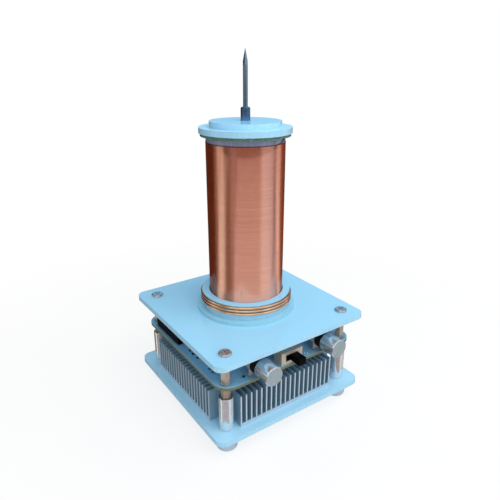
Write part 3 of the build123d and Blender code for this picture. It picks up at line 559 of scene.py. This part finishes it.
def extruded_aluminium(walls, sawn):
    """Extruded and sawn heat sink: walls painted darker as shade between the fins, and fin ends
    sawn bright.

    The fin ends are what lies within a third of a millimetre of the outline.
    """
    material, tree, shader = begin("Extruded aluminium")
    ends = add(tree, "MapRange", {"Value": inset(tree, "heat_sink", 0.0),
                                  "From Min": 0.35 * MM, "From Max": 0.25 * MM})[0]
    feed(tree, shader, {
        # The walls' colour is painted shade between the fins, and the ends within the outline are
        # sawn bright.
        "Base Color": laid(tree, walls, (grain(tree, 6, 0, 0.3), "A4BCCC"), (ends, sawn)),
        "Metallic": 0.45, "Roughness": grain(tree, 3, 0.3, 0.42),
        "Normal": relief(tree, 0.012, 0.35, 0.3, stretch=(0.05, 0.05, 1))})
    return material


def plated_metal(name, base, stain, roughness, metal=1.0):
    """Plated metal: an even skin with soft cloudy stains and a few fine scratches."""
    return plain_finish(name, base, stain, cloud=(1.8, 0, 0.5, 4.0),
                        rough=(1.5, roughness * 0.8, roughness * 1.2),
                        lines=(0.006, 0.3, 0.2, 2.0, (1, 0.1, 0.4)), Metallic=metal)


def blued_holder(base):
    """Blued and polished steel holder, with faint streaks along it."""
    return plain_finish("Blued steel holder", base, "7C96A8",
                        cloud=(0.8, 0, 0.4, 2.0, (1, 1, 0.15)), rough=(1.5, 0.16, 0.24),
                        Metallic=0.9)


def edged_washer(base):
    """Black washer whose flat faces are painted pale in patches: wear, and a painted sheen."""
    material, tree, shader = begin("Black washer with wear and painted sheen")
    # Pale flat faces: partly wear, partly a painted sheen.
    wear_and_painted_sheen = chain(tree, "Math", flat_share(tree), ("MULTIPLY", grain(tree, 0.8, 0.5, 1)))
    feed(tree, shader, {"Base Color": laid(tree, base, (wear_and_painted_sheen, "9CBCCC")),
                        "Roughness": grain(tree, 1, 0.35, 0.5)})
    return material


def folded_sheet(base):
    """Folded and plated sheet steel, warm and satin."""
    return plain_finish("Warm plated sheet steel", base, "A89884", cloud=(1.8, 0, 0.4, 4.0),
                        rough=(1.5, 0.3, 0.42), Metallic=0.6)


def dark_steel(base):
    """Polished dark steel, with fine scratches along it."""
    scratch = (1, 1, 0.1)
    return plain_finish("Polished spike steel", base, "A4C0D2",
                        cloud=(0.2, 0, 0.2, 2.0, scratch), rough=(1.5, 0.128, 0.192),
                        lines=(0.006, 0.3, 0.2, 2.0, scratch), Metallic=0.9)


def moulding(name, base, roughness, texture=0.25, gloss=0.5):
    """Moulded plastic or rubber: even colour, with the fine grain of a sparked mould."""
    material, tree, shader = begin(name)
    lighter = add(tree, "HueSaturation", {"Color": base, "Value": 1.3})[0]
    feed(tree, shader, {
        "Base Color": laid(tree, base, (grain(tree, 3, 0, 0.5), lighter)),
        "Roughness": grain(tree, 2, roughness * 0.9, roughness * 1.1), "IOR": 1.5,
        "Specular IOR Level": gloss, "Normal": relief(tree, 0.01, 0.4, texture)})
    return material


def masked_board(name, mask, edge, thread, margin=None):
    """Glass laminate with solder mask.

    The faces have a glossy, slightly uneven lacquer over a faint weave, and the cut edges show
    the raw laminate with its glass threads in layers. A margin is a node, its corner radius and
    the colour of a narrow strip along its outline, where no copper lies under the mask.
    """
    material, tree, shader = begin(name)
    level = flat_share(tree)
    lighter = laid(tree, mask, (0.25, "FFFFFF"))
    face = laid(tree, mask, (grain(tree, 7, 0, 0.3), lighter))
    if margin:
        node, radius, tone = margin
        strip_share = add(tree, "MapRange", {"Value": inset(tree, node, radius),
                                             "From Min": 0.9 * MM, "From Max": 0.6 * MM})[0]
        face = laid(tree, face, (strip_share, tone))
    threads = grain(tree, 0.9, 0, 1, detail=3.0, stretch=(0.6, 0.6, 2.5))
    feed(tree, shader, {
        "Base Color": laid(tree, edge, (threads, thread), (level, face)),
        "Roughness": add(tree, "MapRange", {"Value": level, "To Min": 0.6, "To Max": 0.2})[0],
        "IOR": 1.5, "Normal": relief(tree, 0.008, 0.3, 0.5, detail=1.0)})
    return material


def soldered(name, base):
    """Solder and tinned wire: bright and rounded, with a slightly frosted skin."""
    return plain_finish(name, base, "A8ABAF", cloud=(0.3, 0, 1, 3.0), rough=(0.8, 0.22, 0.38),
                        lines=(0.008, 0.3, 0.3, 3.0), Metallic=1.0)


def transistor_finish(tab_start):
    """Power transistor: moulded black epoxy in front, and a bare plated tab behind."""
    material, tree, shader = begin("Epoxy and plated tab")
    behind = add(tree, "SeparateXYZ", {0: position(tree)})["Y"]
    tab = chain(tree, "Math", behind, ("GREATER_THAN", tab_start))
    epoxy = laid(tree, "17181B", (grain(tree, 0.25, 0, 1), "212226"))
    feed(tree, shader, {
        "Base Color": laid(tree, epoxy, (tab, "B9BCC0")), "Metallic": tab,
        "Roughness": add(tree, "MapRange", {"Value": tab, "To Min": 0.5, "To Max": 0.3})[0],
        "Normal": relief(tree, 0.01, 0.4, 0.25)})
    return material


def sleeved_can(middle, rim, stripe_width):
    """Electrolytic capacitor: an aluminium can in a shrunk dark sleeve with a pale stripe.

    The can is bare inside the rim, on its flat ends. The stripe is on the side towards +X.
    """
    material, tree, shader = begin("Sleeved aluminium can")
    out = chain(tree, "VectorMath", position(tree), ("SUBTRACT", middle),
                ("MULTIPLY", (1, 1, 0)))
    radius = chain(tree, "VectorMath", out, ("LENGTH",))
    bare = chain(tree, "Math", radius, ("LESS_THAN", rim), ("MULTIPLY", flat_share(tree)))
    axes = add(tree, "SeparateXYZ", {0: out})
    rightward = chain(tree, "Math", axes["X"], ("GREATER_THAN", 0))
    stripe = chain(tree, "Math", axes["Y"], ("ABSOLUTE",), ("LESS_THAN", stripe_width / 2),
                   ("MULTIPLY", rightward))
    feed(tree, shader, {
        "Base Color": laid(tree, "1B2233", (stripe, "9AA4B2"), (bare, "C9CDD1")),
        "Metallic": bare, "Roughness": grain(tree, 2, 0.22, 0.34),
        "Normal": relief(tree, 0.02, 0.3, 2.0)})
    return material


def dress(material, *nodes):
    """Gives nodes of the frame a finish."""
    for node in nodes:
        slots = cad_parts[node].data.materials
        slots.clear()
        slots.append(material)


# ---------------------------------------------------------------- operators

class TRANSFORMER_OT_dress_stand(bpy.types.Operator):
    """Gives the plates, feet, posts and screws their finishes"""

    bl_idname = "transformer.dress_stand"
    bl_label = "Dress the stand"

    def execute(self, context):
        finish = context.scene.transformer_finishes
        dress(cast_acrylic("Pale blue cast acrylic", finish.acrylic, finish.acrylic_edge),
              "top_plate")
        # Paler acrylic on the base plate: painted light against the top plate's shade.
        dress(cast_acrylic("Pale blue base acrylic, painted paler as light", finish.base, finish.acrylic_edge),
              "base_plate")
        dress(moulding("Translucent grey rubber", finish.rubber, 0.5, texture=0.5), "rubber_feet")
        dress(turned_aluminium("Polished aluminium rod", finish.aluminium, 0.12), "support_posts")
        dress(plated_metal("Nickelled brass", finish.brass, "A08C6C", 0.22, metal=0.5),
              "hex_spacers", "hex_standoffs")
        dress(edged_washer(finish.black), "standoff_washers")
        dress(plated_metal("Zinc plated steel", finish.zinc, "9DA3AD", 0.2), "foot_screws")
        dress(plated_metal("Polished pan head", finish.zinc, "8A9098", 0.16, metal=0.8),
              "top_plate_screws")
        return {"FINISHED"}


class TRANSFORMER_OT_dress_heat_sink(bpy.types.Operator):
    """Gives the heat sink and the power transistors on it their finishes"""

    bl_idname = "transformer.dress_heat_sink"
    bl_label = "Dress the heat sink"

    tab_length = 6.4 * MM

    def execute(self, context):
        finish = context.scene.transformer_finishes
        dress(extruded_aluminium(finish.painted_shade_sink_wall, finish.sink_end), "heat_sink")
        dress(plated_metal("Zinc plated machine screw", finish.zinc, "8E949E", 0.25),
              "heat_sink_screws", "transistor_screws")
        dress(moulding("Grey silicone sheet", "8A8D92", 0.6, texture=0.4), "thermal_pads")
        tab_start = box("power_transistors")[1][1] - self.tab_length
        dress(transistor_finish(tab_start), "power_transistors")
        dress(soldered("Tinned transistor lead", "C4C7CA"), "transistor_leads")
        return {"FINISHED"}


class TRANSFORMER_OT_dress_controls(bpy.types.Operator):
    """Gives the knobs, potentiometers and slide switch their finishes"""

    bl_idname = "transformer.dress_controls"
    bl_label = "Dress the controls"

    def execute(self, context):
        finish = context.scene.transformer_finishes
        dress(brushed_knob(finish.aluminium), "left_knob", "right_knob")
        dress(moulding("Black knob core", "08090B", 0.45, gloss=0.2), "left_knob_core",
              "right_knob_core")
        dress(turned_aluminium("Turned shaft", finish.aluminium, 0.2), "left_pot_shaft",
              "right_pot_shaft")
        dress(folded_sheet(finish.sheet), "pot_brackets", "switch_shell")
        dress(plated_metal("Die-cast zinc", "A9AAAD", "8B8C90", 0.34),
              "pot_bushes")
        dress(moulding("Slate moulding", "4E6A86", 0.42), "pot_housings")
        dress(moulding("Brown phenolic laminate", "6B4327", 0.5), "left_pot_rotor",
              "right_pot_rotor", "switch_insulator")
        dress(soldered("Tinned control pin", "C4C7CA"), "pot_pins", "switch_pins")
        dress(moulding("Matt black lever", "030304", 0.5, gloss=0.05), "switch_lever",
              "switch_shuttle")
        return {"FINISHED"}


class TRANSFORMER_OT_dress_board(bpy.types.Operator):
    """Gives the circuit board and the larger parts on it their finishes"""

    bl_idname = "transformer.dress_board"
    bl_label = "Dress the board"

    corner_radius = 9.0 * MM
    can_rim = 4.0 * MM
    stripe_width = 2.6 * MM

    def execute(self, context):
        finish = context.scene.transformer_finishes
        dress(masked_board("Blue masked laminate", finish.mask, finish.laminate,
                           "74744E", ("circuit_board", self.corner_radius, finish.rim)),
              "circuit_board")
        dress(moulding("Black connector moulding", "07080B", 0.38, gloss=0.08),
              "header_socket", "power_jack", "audio_jack")
        dress(soldered("Tinned pin", "C8CACC"), "header_pins", "power_jack_pin",
              "jack_pins", "capacitor_leads")
        middle = sum(box("electrolytic_capacitor")) / 2
        dress(sleeved_can(middle, self.can_rim, self.stripe_width), "electrolytic_capacitor")
        dress(moulding("Yellow film capacitor case", "C99A2E", 0.35), "film_capacitor")
        dress(moulding("Black epoxy package", "1A1B1E", 0.5, texture=0.15), "driver_chips")
        return {"FINISHED"}


class TRANSFORMER_OT_print_board(bpy.types.Operator):
    """Lays the tracks, printed outlines, pads and solder joints of the circuit board"""

    bl_idname = "transformer.print_board"
    bl_label = "Print and solder the board"

    # Places and sizes in millimetres, the places from the coil's axis. The first leg of a row is
    # its left one, and a control's pins stand on both sides of its middle.
    leg_pitch = 1.27
    bus_lines = 7
    bus_leg = (-18.8, 7.6)
    bus_slant = (4.0, 0.8)
    header_end = (-38.4, 10.2)
    header_pitch = 2.54
    control_place = (22.25, -36.0)
    control_pitch = 2.5
    control_lines = 3
    left_bend = -24.0
    left_leg = (-15.6, 0.4)
    right_bend = -16.0
    right_leg = (0.7, -1.4)
    right_aside = 4.0
    right_slope = 0.55
    socket_route = [(-20.4, 37.0), (-20.4, 22.0), (-16.0, 17.6), (-16.0, 7.6)]
    # Between the power inlet, the capacitors and the transistors.
    supply_routes = ([(20.0, 33.0), (20.0, 20.0), (28.0, 12.0), (30.0, 8.6)],
                     [(30.0, -0.6), (30.0, -6.0), (24.0, -12.0), (14.0, -12.0), (10.8, -9.6)],
                     [(0.0, 24.0), (12.0, 24.0), (16.0, 20.0)],
                     [(-33.0, -18.0), (-33.0, 2.0), (-29.0, 6.0)])
    # Printed frames round the parts: two opposite corners of each.
    frames = ((-44.6, 5.0, -38.3, 34.2), (-20.9, 0.6, -9.1, 7.4), (-1.6, -1.5, 5.6, 5.5),
              (15.0, 32.0, 25.0, 46.0), (-21.8, 34.6, -14.2, 46.0), (-17.4, 20.1, 1.4, 27.9),
              (-27.6, -42.6, -16.9, -35.2), (16.9, -42.6, 27.6, -35.2))
    ring_place = (11.5, -43.1)
    ring = (1.2, 0.08)
    hole = (0.65, 0.12)
    # Profile of a joint under the board, from its tip to its foot, in shares of radius and height.
    joint = ((0.34, -1.0), (0.45, -0.6), (0.7, -0.22), (1.0, 0.0))

    def bus(self):
        """Tracks from the header to the long chip: across, down a slant, then to each leg."""
        for number in range(self.bus_lines):
            leg_x = self.bus_leg[0] + number * self.leg_pitch
            start_y = self.header_end[1] + number * self.header_pitch
            slant = self.bus_slant[0] + self.bus_slant[1] * number
            yield [(self.header_end[0], start_y), (leg_x - slant, start_y),
                   (leg_x, start_y - slant), (leg_x, self.bus_leg[1])]

    def signals(self):
        """Tracks from both controls, back and down a slant to the chips, and the socket's one."""
        control_x, control_y = self.control_place
        for number in range(self.control_lines):
            aside = self.control_pitch * (number - 1)
            pin_x = aside - control_x
            leg_x = self.left_leg[0] + number * self.leg_pitch
            yield [(pin_x, control_y), (pin_x, self.left_bend),
                   (leg_x, self.left_bend + abs(leg_x - pin_x)), (leg_x, self.left_leg[1])]
            pin_x = aside + control_x
            leg_x = self.right_leg[0] + number * self.leg_pitch
            bend_x = leg_x + self.right_aside
            yield [(pin_x, control_y), (pin_x, self.right_bend),
                   (bend_x, self.right_bend + self.right_slope * abs(bend_x - pin_x)),
                   (leg_x, self.right_leg[1])]
        yield self.socket_route

    def outlines(self):
        """Printed lines round the frames, each from a corner all round."""
        for low_x, low_y, high_x, high_y in self.frames:
            yield [(low_x, low_y), (high_x, low_y), (high_x, high_y), (low_x, high_y),
                   (low_x, low_y)]

    def lines(self, routes, width, thickness):
        """Flat strips on the board, along routes."""
        return [strip(on_board(*route), width, board_top, thickness) for route in routes]

    def disc(self, radius, height):
        """Flat disc on the board, at the ring's place."""
        plan = [(x, y, board_top) for x, y in on_board(self.ring_place)]
        return revolve(np.array([(radius, 0.0), (radius, height)]) * MM, plan)

    def execute(self, context):
        sizes = context.scene.transformer_board
        finish = context.scene.transformer_finishes
        lacquered = masked_board("Mask over copper track", paler(finish.mask, 0.12),
                                 finish.laminate, finish.laminate)
        tracks = self.lines([*self.bus(), *self.signals()], sizes.track_width,
                            sizes.track_thickness)
        tracks += self.lines(self.supply_routes, sizes.power_width, sizes.track_thickness)
        piece("board_tracks", gather(tracks), lacquered, smooth=False)
        ink = moulding("Navy printing ink", "22384E", 0.6)
        frames = self.lines(self.outlines(), sizes.ink_width, sizes.ink_thickness)
        piece("board_print", gather(frames), ink, smooth=False)
        tin = soldered("Solder", "C9CCCE")
        joint = np.array(self.joint) * (sizes.solder_radius, sizes.solder_height)
        pins = [pin_places(node) for node in ("pot_pins", "switch_pins", "header_pins",
                                              "jack_pins", "capacitor_leads")]
        below = [(x, y, board_bottom) for x, y in np.concatenate(pins)]
        piece("solder_joints_below", revolve(joint, below, sides=14), tin)
        above = [(x, y, board_top) for x, y in pin_places("transistor_leads", end=1)]
        piece("solder_joints_above", revolve(joint[::-1] * (1, -1), above, sides=14), tin)
        pad = moulding("Pale ring pad", "B4D8EC", 0.3)
        piece("ring_pad", self.disc(*self.ring), pad)
        piece("ring_pad_hole", self.disc(*self.hole), ink)
        return {"FINISHED"}


class TRANSFORMER_OT_fit_small_parts(bpy.types.Operator):
    """Adds the small soldered parts, the contacts in the header and the vent on the can"""

    bl_idname = "transformer.fit_small_parts"
    bl_label = "Fit the small parts"

    # Places and sizes in millimetres, the places from the coil's axis.
    part_length = 2.0
    part_width = 1.25
    part_height = 0.6
    end_length = 0.4
    end_height = 0.66
    places_along_x = ((-29.9, -41.3), (-25.5, 10.0), (-25.5, 13.0), (10.0, 10.0), (10.0, 13.0),
                      (8.0, -20.0), (-6.0, -24.0), (-6.0, -21.0), (2.0, 31.0), (-28.0, 38.0))
    places_along_y = ((-41.0, -29.1), (-40.8, -25.6), (-41.1, -12.6), (-41.4, -7.9),
                      (-41.2, -3.9), (-8.0, 14.0), (12.0, -30.0), (36.0, 20.0), (36.0, -22.0),
                      (33.0, -22.0))
    leaf = (0.5, 0.14, 4.6)
    leaf_aside = 0.33
    leaf_inset = 0.5
    vent_reach = 3.4
    vent_score = (0.35, 0.03)

    def chips(self, share_from, share_to, height):
        """Blocks that fill a stretch of every small part, between two shares of its length."""
        stretch = self.part_length * (share_to - share_from)
        shift = self.part_length * ((share_from + share_to) / 2 - 0.5)
        sizes = ([(stretch, self.part_width, height)] * len(self.places_along_x)
                 + [(self.part_width, stretch, height)] * len(self.places_along_y))
        plan = [(x + shift, y) for x, y in self.places_along_x]
        plan += [(x, y + shift) for x, y in self.places_along_y]
        plan = on_board(*plan)
        middles = np.column_stack([plan, np.full(len(plan), board_top + height * MM / 2)])
        return blocks(middles, np.array(sizes) * MM)

    def execute(self, context):
        end = self.end_length / self.part_length
        ceramic = moulding("Black fired ceramic", "1D1E22", 0.35, texture=0.2)
        piece("small_part_bodies", self.chips(end, 1 - end, self.part_height), ceramic,
              smooth=False)
        tin = soldered("Tinned end cap", "CDD0D2")
        caps = [self.chips(0, end, self.end_height), self.chips(1 - end, 1, self.end_height)]
        piece("small_part_ends", gather(caps), tin, smooth=False)

        wells = pin_places("header_pins")
        top = box("header_socket")[1][2]
        leaf = np.array(self.leaf) * MM
        middles = [(x, y + side * self.leaf_aside * MM, top - self.leaf_inset * MM - leaf[2] / 2)
                   for x, y in wells for side in (-1, 1)]
        piece("header_contacts", blocks(middles, [leaf] * len(middles)), tin,
              smooth=False)

        low, high = box("electrolytic_capacitor")
        x, y, _ = (low + high) / 2
        reach, width, thickness = np.array([self.vent_reach, *self.vent_score]) * MM
        arms = [[(x - reach, y), (x + reach, y)], [(x, y - reach), (x, y + reach)]]
        score = plated_metal("Scored aluminium", "7F858C", "5D6268", 0.4)
        piece("can_vent", gather([strip(arm, width, high[2], thickness) for arm in arms]), score,
              smooth=False)
        return {"FINISHED"}


class TRANSFORMER_OT_wind_secondary(bpy.types.Operator):
    """Winds the secondary coil turn by turn, with the wire that leaves it at the top"""

    bl_idname = "transformer.wind_secondary"
    bl_label = "Wind the secondary"

    tail_end = radians(-51)
    tail_turn = radians(390)
    tail_rise = radians(27)

    def tail(self, radius, low, high):
        """Wire that lies once round the tube on the last turn, and then rises to its rim.

        A point at share s lies at the angle a1 - turn (1 - s). Its height is low until the last
        stretch of the turn, and goes up there with the square of the share of that stretch.
        """
        share = np.linspace(0, 1, 181)
        left = self.tail_turn * (1 - share)
        angle = self.tail_end - left
        outward = np.column_stack([np.cos(angle), np.sin(angle), np.zeros_like(angle)])
        path = outward * radius + (*coil_axis, 0)
        path[:, 2] = low + (high - low) * np.clip(1 - left / self.tail_rise, 0, 1) ** 2
        return path, outward

    def execute(self, context):
        sizes = context.scene.transformer_winding
        finish = context.scene.transformer_finishes
        low, high = box("secondary_winding")
        outer = (high[0] - low[0]) / 2
        bore = (box("secondary_tube")[1][0] - box("secondary_tube")[0][0]) / 2
        wire = enamelled_copper(finish.enamel, sizes.wire_pitch)
        layer = close_winding(bore, outer, low[2], high[2], sizes.wire_pitch, sizes.ridge,
                              sizes.facets)
        piece("secondary_turns", layer, wire,
              replaced=("secondary_winding",))
        path, outward = self.tail(bore + sizes.tail_width / 2, high[2] + sizes.tail_width / 2,
                                  box("secondary_tube")[1][2])
        # The tail's dark brown is painted shade: laid once round the top of the winding, it draws
        # the dark line under the caps there.
        dark = plated_metal("Last turn, dark as painted shade", "7C4640", "543038", 0.3)
        piece("secondary_tail", tube(path, outward, sizes.tail_width / 2), dark)
        return {"FINISHED"}


class TRANSFORMER_OT_dress_coils(bpy.types.Operator):
    """Gives the primary coil, its former, the disc under it and the tube their finishes"""

    bl_idname = "transformer.dress_coils"
    bl_label = "Dress the coils"

    def execute(self, context):
        finish = context.scene.transformer_finishes
        dress(bare_copper(finish.copper), "primary_winding")
        dress(cast_acrylic("Pale blue former", finish.acrylic, finish.acrylic_edge),
              "primary_former")
        dress(cast_acrylic("Tinted acrylic disc", finish.disc, "8CC6D6"), "coil_disc")
        dress(clear_tube(finish.tube), "secondary_tube")
        dress(moulding("Red silicone insulation", "A8231C", 0.5), "earth_lead")
        return {"FINISHED"}


class TRANSFORMER_OT_dress_head(bpy.types.Operator):
    """Gives the caps, the board under them and the discharge spike their finishes"""

    bl_idname = "transformer.dress_head"
    bl_label = "Dress the head"

    def execute(self, context):
        finish = context.scene.transformer_finishes
        # The large cap's paler faces are painted light against the small cap's shade.
        dress(cast_acrylic("Pale blue cap, painted paler as light", finish.large_cap, finish.cap_edge), "large_cap_disc")
        dress(cast_acrylic("Pale blue upper cap", finish.cap, finish.cap), "small_cap_disc")
        dress(masked_board("Dark green laminate", finish.cap_board, "13281F",
                           "5E8A72"), "output_board")
        dress(dark_steel(finish.steel), "discharge_spike")
        dress(blued_holder(finish.hex_steel), "head_hex")
        dress(plated_metal("Zinc plated cap screw", finish.zinc, "9DA3AD", 0.22), "cap_screw")
        return {"FINISHED"}


class TRANSFORMER_OT_set_stage(bpy.types.Operator):
    """Sets up the pale floor, the studio light and the camera"""

    bl_idname = "transformer.set_stage"
    bl_label = "Set the stage"

    floor_side = 6.0
    floor_drop = 0.2 * MM
    # Of the floor's own white, this share shows out to the shadow's reach, and all from the fade.
    floor_share = 0.8
    shadow_reach = 0.1
    floor_fade = 0.3
    lamp_side = 0.5
    overhead_place = (0.12, -0.28, 0.52)
    side_place = (-0.45, -0.8, 0.26)
    # Height of a direction at which the lower room turns to the upper one, and to the ground.
    horizon_blend = (-0.04, 0.06)
    ground_blend = (-0.55, -0.9)
    # What metal sees round the room: way round in degrees from +X, and the colour there, first
    # in the lower half and then in the upper half, where the windows and lights stand.
    lower_room = ((-180, "907768"), (-163, "907768"), (-157, "9395B7"), (-151, "8C5E4C"),
                  (-84, "8C5E4C"), (-74, "DCDEE8"), (-52, "D4DAE8"), (-40, "C4C4CC"),
                  (-34, "5C3028"), (-27, "5C3028"), (-22, "FFF2EB"), (-10, "FFF2EB"),
                  (-1, "945C44"), (14, "885039"), (32, "5D3321"), (120, "5B3120"),
                  (144, "644032"), (151, "FFFFF6"), (168, "FFFFF6"), (174, "907768"))
    upper_room = ((-180, "907768"), (-174, "907768"), (-168, "FFFFFF"), (-40, "FFFFFF"),
                  (-33, "DFEAFD"), (-18, "CACDDD"), (-14, "785957"), (-10, "FFF2EB"),
                  (-3, "FFF2EB"), (5, "945C44"), (20, "885039"), (33, "5D3321"),
                  (38, "9AD0EE"), (72, "9AD0EE"), (77, "5B3120"), (118, "5B3120"),
                  (131, "644032"), (137, "FFFFF6"), (151, "FFFFF6"), (157, "907768"),
                  (178, "907768"))
    room_ground = "C9D6E2"

    def seen_by(self, tree, *rays):
        """1 for rays of the kinds named, and 0 for all others."""
        path = add(tree, "LightPath")
        return chain(tree, "Math", 0, *(("MAXIMUM", path[ray]) for ray in rays))

    def floor(self):
        """Pale floor, whose own white shows with the object's soft shadow on it."""
        material = bpy.data.materials.new("Pale studio floor")
        material.use_nodes = True
        tree = material.node_tree
        tree.nodes.clear()
        tone = laid(tree, "F7F8F9", (grain(tree, 60, 0, 1), "FFFFFF"))
        lit = add(tree, "BsdfDiffuse", {"Color": tone})[0]
        white = add(tree, "Emission", {"Color": "FFFFFF", "Strength": 1.0})[0]
        away = chain(tree, "VectorMath", position(tree), ("LENGTH",))
        share = add(tree, "MapRange", {"Value": away, "From Min": self.shadow_reach,
                                       "From Max": self.floor_fade, "To Min": self.floor_share,
                                       "To Max": 1.0})[0]
        seen = self.seen_by(tree, "Is Camera Ray", "Is Glossy Ray", "Is Transmission Ray")
        share = chain(tree, "Math", share, ("MULTIPLY", seen))
        shown = add(tree, "MixShader", {0: share, 1: lit, 2: white})[0]
        add(tree, "OutputMaterial", {"Surface": shown})
        half = self.floor_side / 2
        mesh = bpy.data.meshes.new("studio_floor")
        mesh.from_pydata([(x * half, y * half, -self.floor_drop)
                          for x, y in ((-1, -1), (1, -1), (1, 1), (-1, 1))], [], [[0, 1, 2, 3]])
        mesh.materials.append(material)
        ground = bpy.data.objects.new("studio_floor", mesh)
        ground.visible_glossy = False
        bpy.context.scene.collection.objects.link(ground)

    def bands(self, tree, share, table):
        """Colours of a table of stops, by the share of the way round."""
        band = add(tree, "ValToRGB", {"Fac": share})[0]
        stops = band.node.color_ramp.elements
        for degrees, tone in table:
            stops.new((degrees + 180) / 360).color = linear(tone)
        stops.remove(stops[0])
        stops.remove(stops[-1])
        return band

    def world(self, ambient):
        """White behind the object, even light on it, and a room of broad bands for the metal."""
        world = bpy.data.worlds.new("Studio")
        world.use_nodes = True
        tree = world.node_tree
        tree.nodes.clear()
        axes = add(tree, "SeparateXYZ", {0: add(tree, "TexCoord")["Generated"]})
        turn = chain(tree, "Math", axes["Y"], ("ARCTAN2", axes["X"]))
        share = add(tree, "MapRange", {"Value": turn, "From Min": -np.pi, "From Max": np.pi})[0]
        upper, ground = (add(tree, "MapRange", {"Value": axes["Z"], "From Min": start,
                                                "From Max": end})[0]
                         for start, end in (self.horizon_blend, self.ground_blend))
        walls = laid(tree, self.bands(tree, share, self.lower_room),
                     (upper, self.bands(tree, share, self.upper_room)), (ground, self.room_ground))
        even, mirrored, white = (
            add(tree, "Background", {"Color": tone, "Strength": strength})[0]
            for tone, strength in (("F6FAFF", ambient), (walls, 1.0), ("FFFFFF", 1.0)))
        glossy = self.seen_by(tree, "Is Glossy Ray")
        lit = add(tree, "MixShader", {0: glossy, 1: even, 2: mirrored})[0]
        seen = self.seen_by(tree, "Is Camera Ray", "Is Transmission Ray")
        shown = add(tree, "MixShader", {0: seen, 1: lit, 2: white})[0]
        add(tree, "OutputWorld", {"Surface": shown})
        world.cycles.sampling_method = "NONE"
        bpy.context.scene.world = world

    def lamp(self, name, place, power, target):
        """Square soft lamp that faces the object."""
        light = bpy.data.lights.new(name, "AREA")
        light.energy = power
        light.size = self.lamp_side
        made = bpy.data.objects.new(name, light)
        made.location = place
        made.rotation_euler = (Vector(target) - Vector(place)).to_track_quat("-Z", "Y").to_euler()
        made.visible_camera = False
        made.visible_glossy = False
        bpy.context.scene.collection.objects.link(made)

    def camera(self, stage):
        """Camera at the photograph's angle, level and without shift."""
        data = bpy.data.cameras.new("Camera")
        data.lens = stage.lens
        data.sensor_width = 36.0
        data.clip_start = 0.01
        data.clip_end = 50.0
        made = bpy.data.objects.new("Camera", data)
        back = Vector((sin(stage.azimuth) * cos(stage.elevation),
                       -cos(stage.azimuth) * cos(stage.elevation), sin(stage.elevation)))
        made.location = Vector(stage.target) + back * stage.distance
        made.rotation_euler = (-back).to_track_quat("-Z", "Y").to_euler()
        bpy.context.scene.collection.objects.link(made)
        bpy.context.scene.camera = made

    def execute(self, context):
        stage = context.scene.transformer_stage
        self.floor()
        self.world(stage.ambient)
        self.lamp("Overhead lamp", self.overhead_place, stage.overhead, stage.target)
        self.lamp("Side lamp", self.side_place, stage.side, stage.target)
        self.camera(stage)
        context.scene.view_settings.view_transform = "Standard"
        return {"FINISHED"}


# ---------------------------------------------------------------- panel and registration

STEPS = (TRANSFORMER_OT_dress_stand, TRANSFORMER_OT_dress_heat_sink, TRANSFORMER_OT_dress_controls,
         TRANSFORMER_OT_dress_board, TRANSFORMER_OT_print_board, TRANSFORMER_OT_fit_small_parts,
         TRANSFORMER_OT_wind_secondary, TRANSFORMER_OT_dress_coils, TRANSFORMER_OT_dress_head,
         TRANSFORMER_OT_set_stage)
GROUPS = {"transformer_winding": WindingSettings, "transformer_board": BoardSettings,
          "transformer_finishes": FinishSettings, "transformer_stage": StageSettings}


class TRANSFORMER_PT_build(bpy.types.Panel):
    """Lists the steps that build the object, and the settings that they read"""

    bl_idname = "TRANSFORMER_PT_build"
    bl_label = "Resonant Transformer"
    bl_space_type = "VIEW_3D"
    bl_region_type = "UI"
    bl_category = "Transformer"

    def draw(self, context):
        for step in STEPS:
            self.layout.operator(step.bl_idname)
        for name, group in GROUPS.items():
            column = self.layout.box().column()
            for setting in group.__annotations__:
                column.prop(getattr(context.scene, name), setting)


def register():
    """Registers the settings, the operators and the panel."""
    for name, group in GROUPS.items():
        bpy.utils.register_class(group)
        setattr(bpy.types.Scene, name, PointerProperty(type=group))
    for step in (*STEPS, TRANSFORMER_PT_build):
        bpy.utils.register_class(step)


def unregister():
    """Takes out what register() put in, last first."""
    for step in (TRANSFORMER_PT_build, *reversed(STEPS)):
        bpy.utils.unregister_class(step)
    for name, group in reversed(GROUPS.items()):
        delattr(bpy.types.Scene, name)
        bpy.utils.unregister_class(group)


def main():
    """Builds every group of pieces in order, then the stage."""
    register()
    for step in STEPS:
        getattr(bpy.ops.transformer, step.bl_idname.partition(".")[2])()


if __name__ == "__main__":
    main()
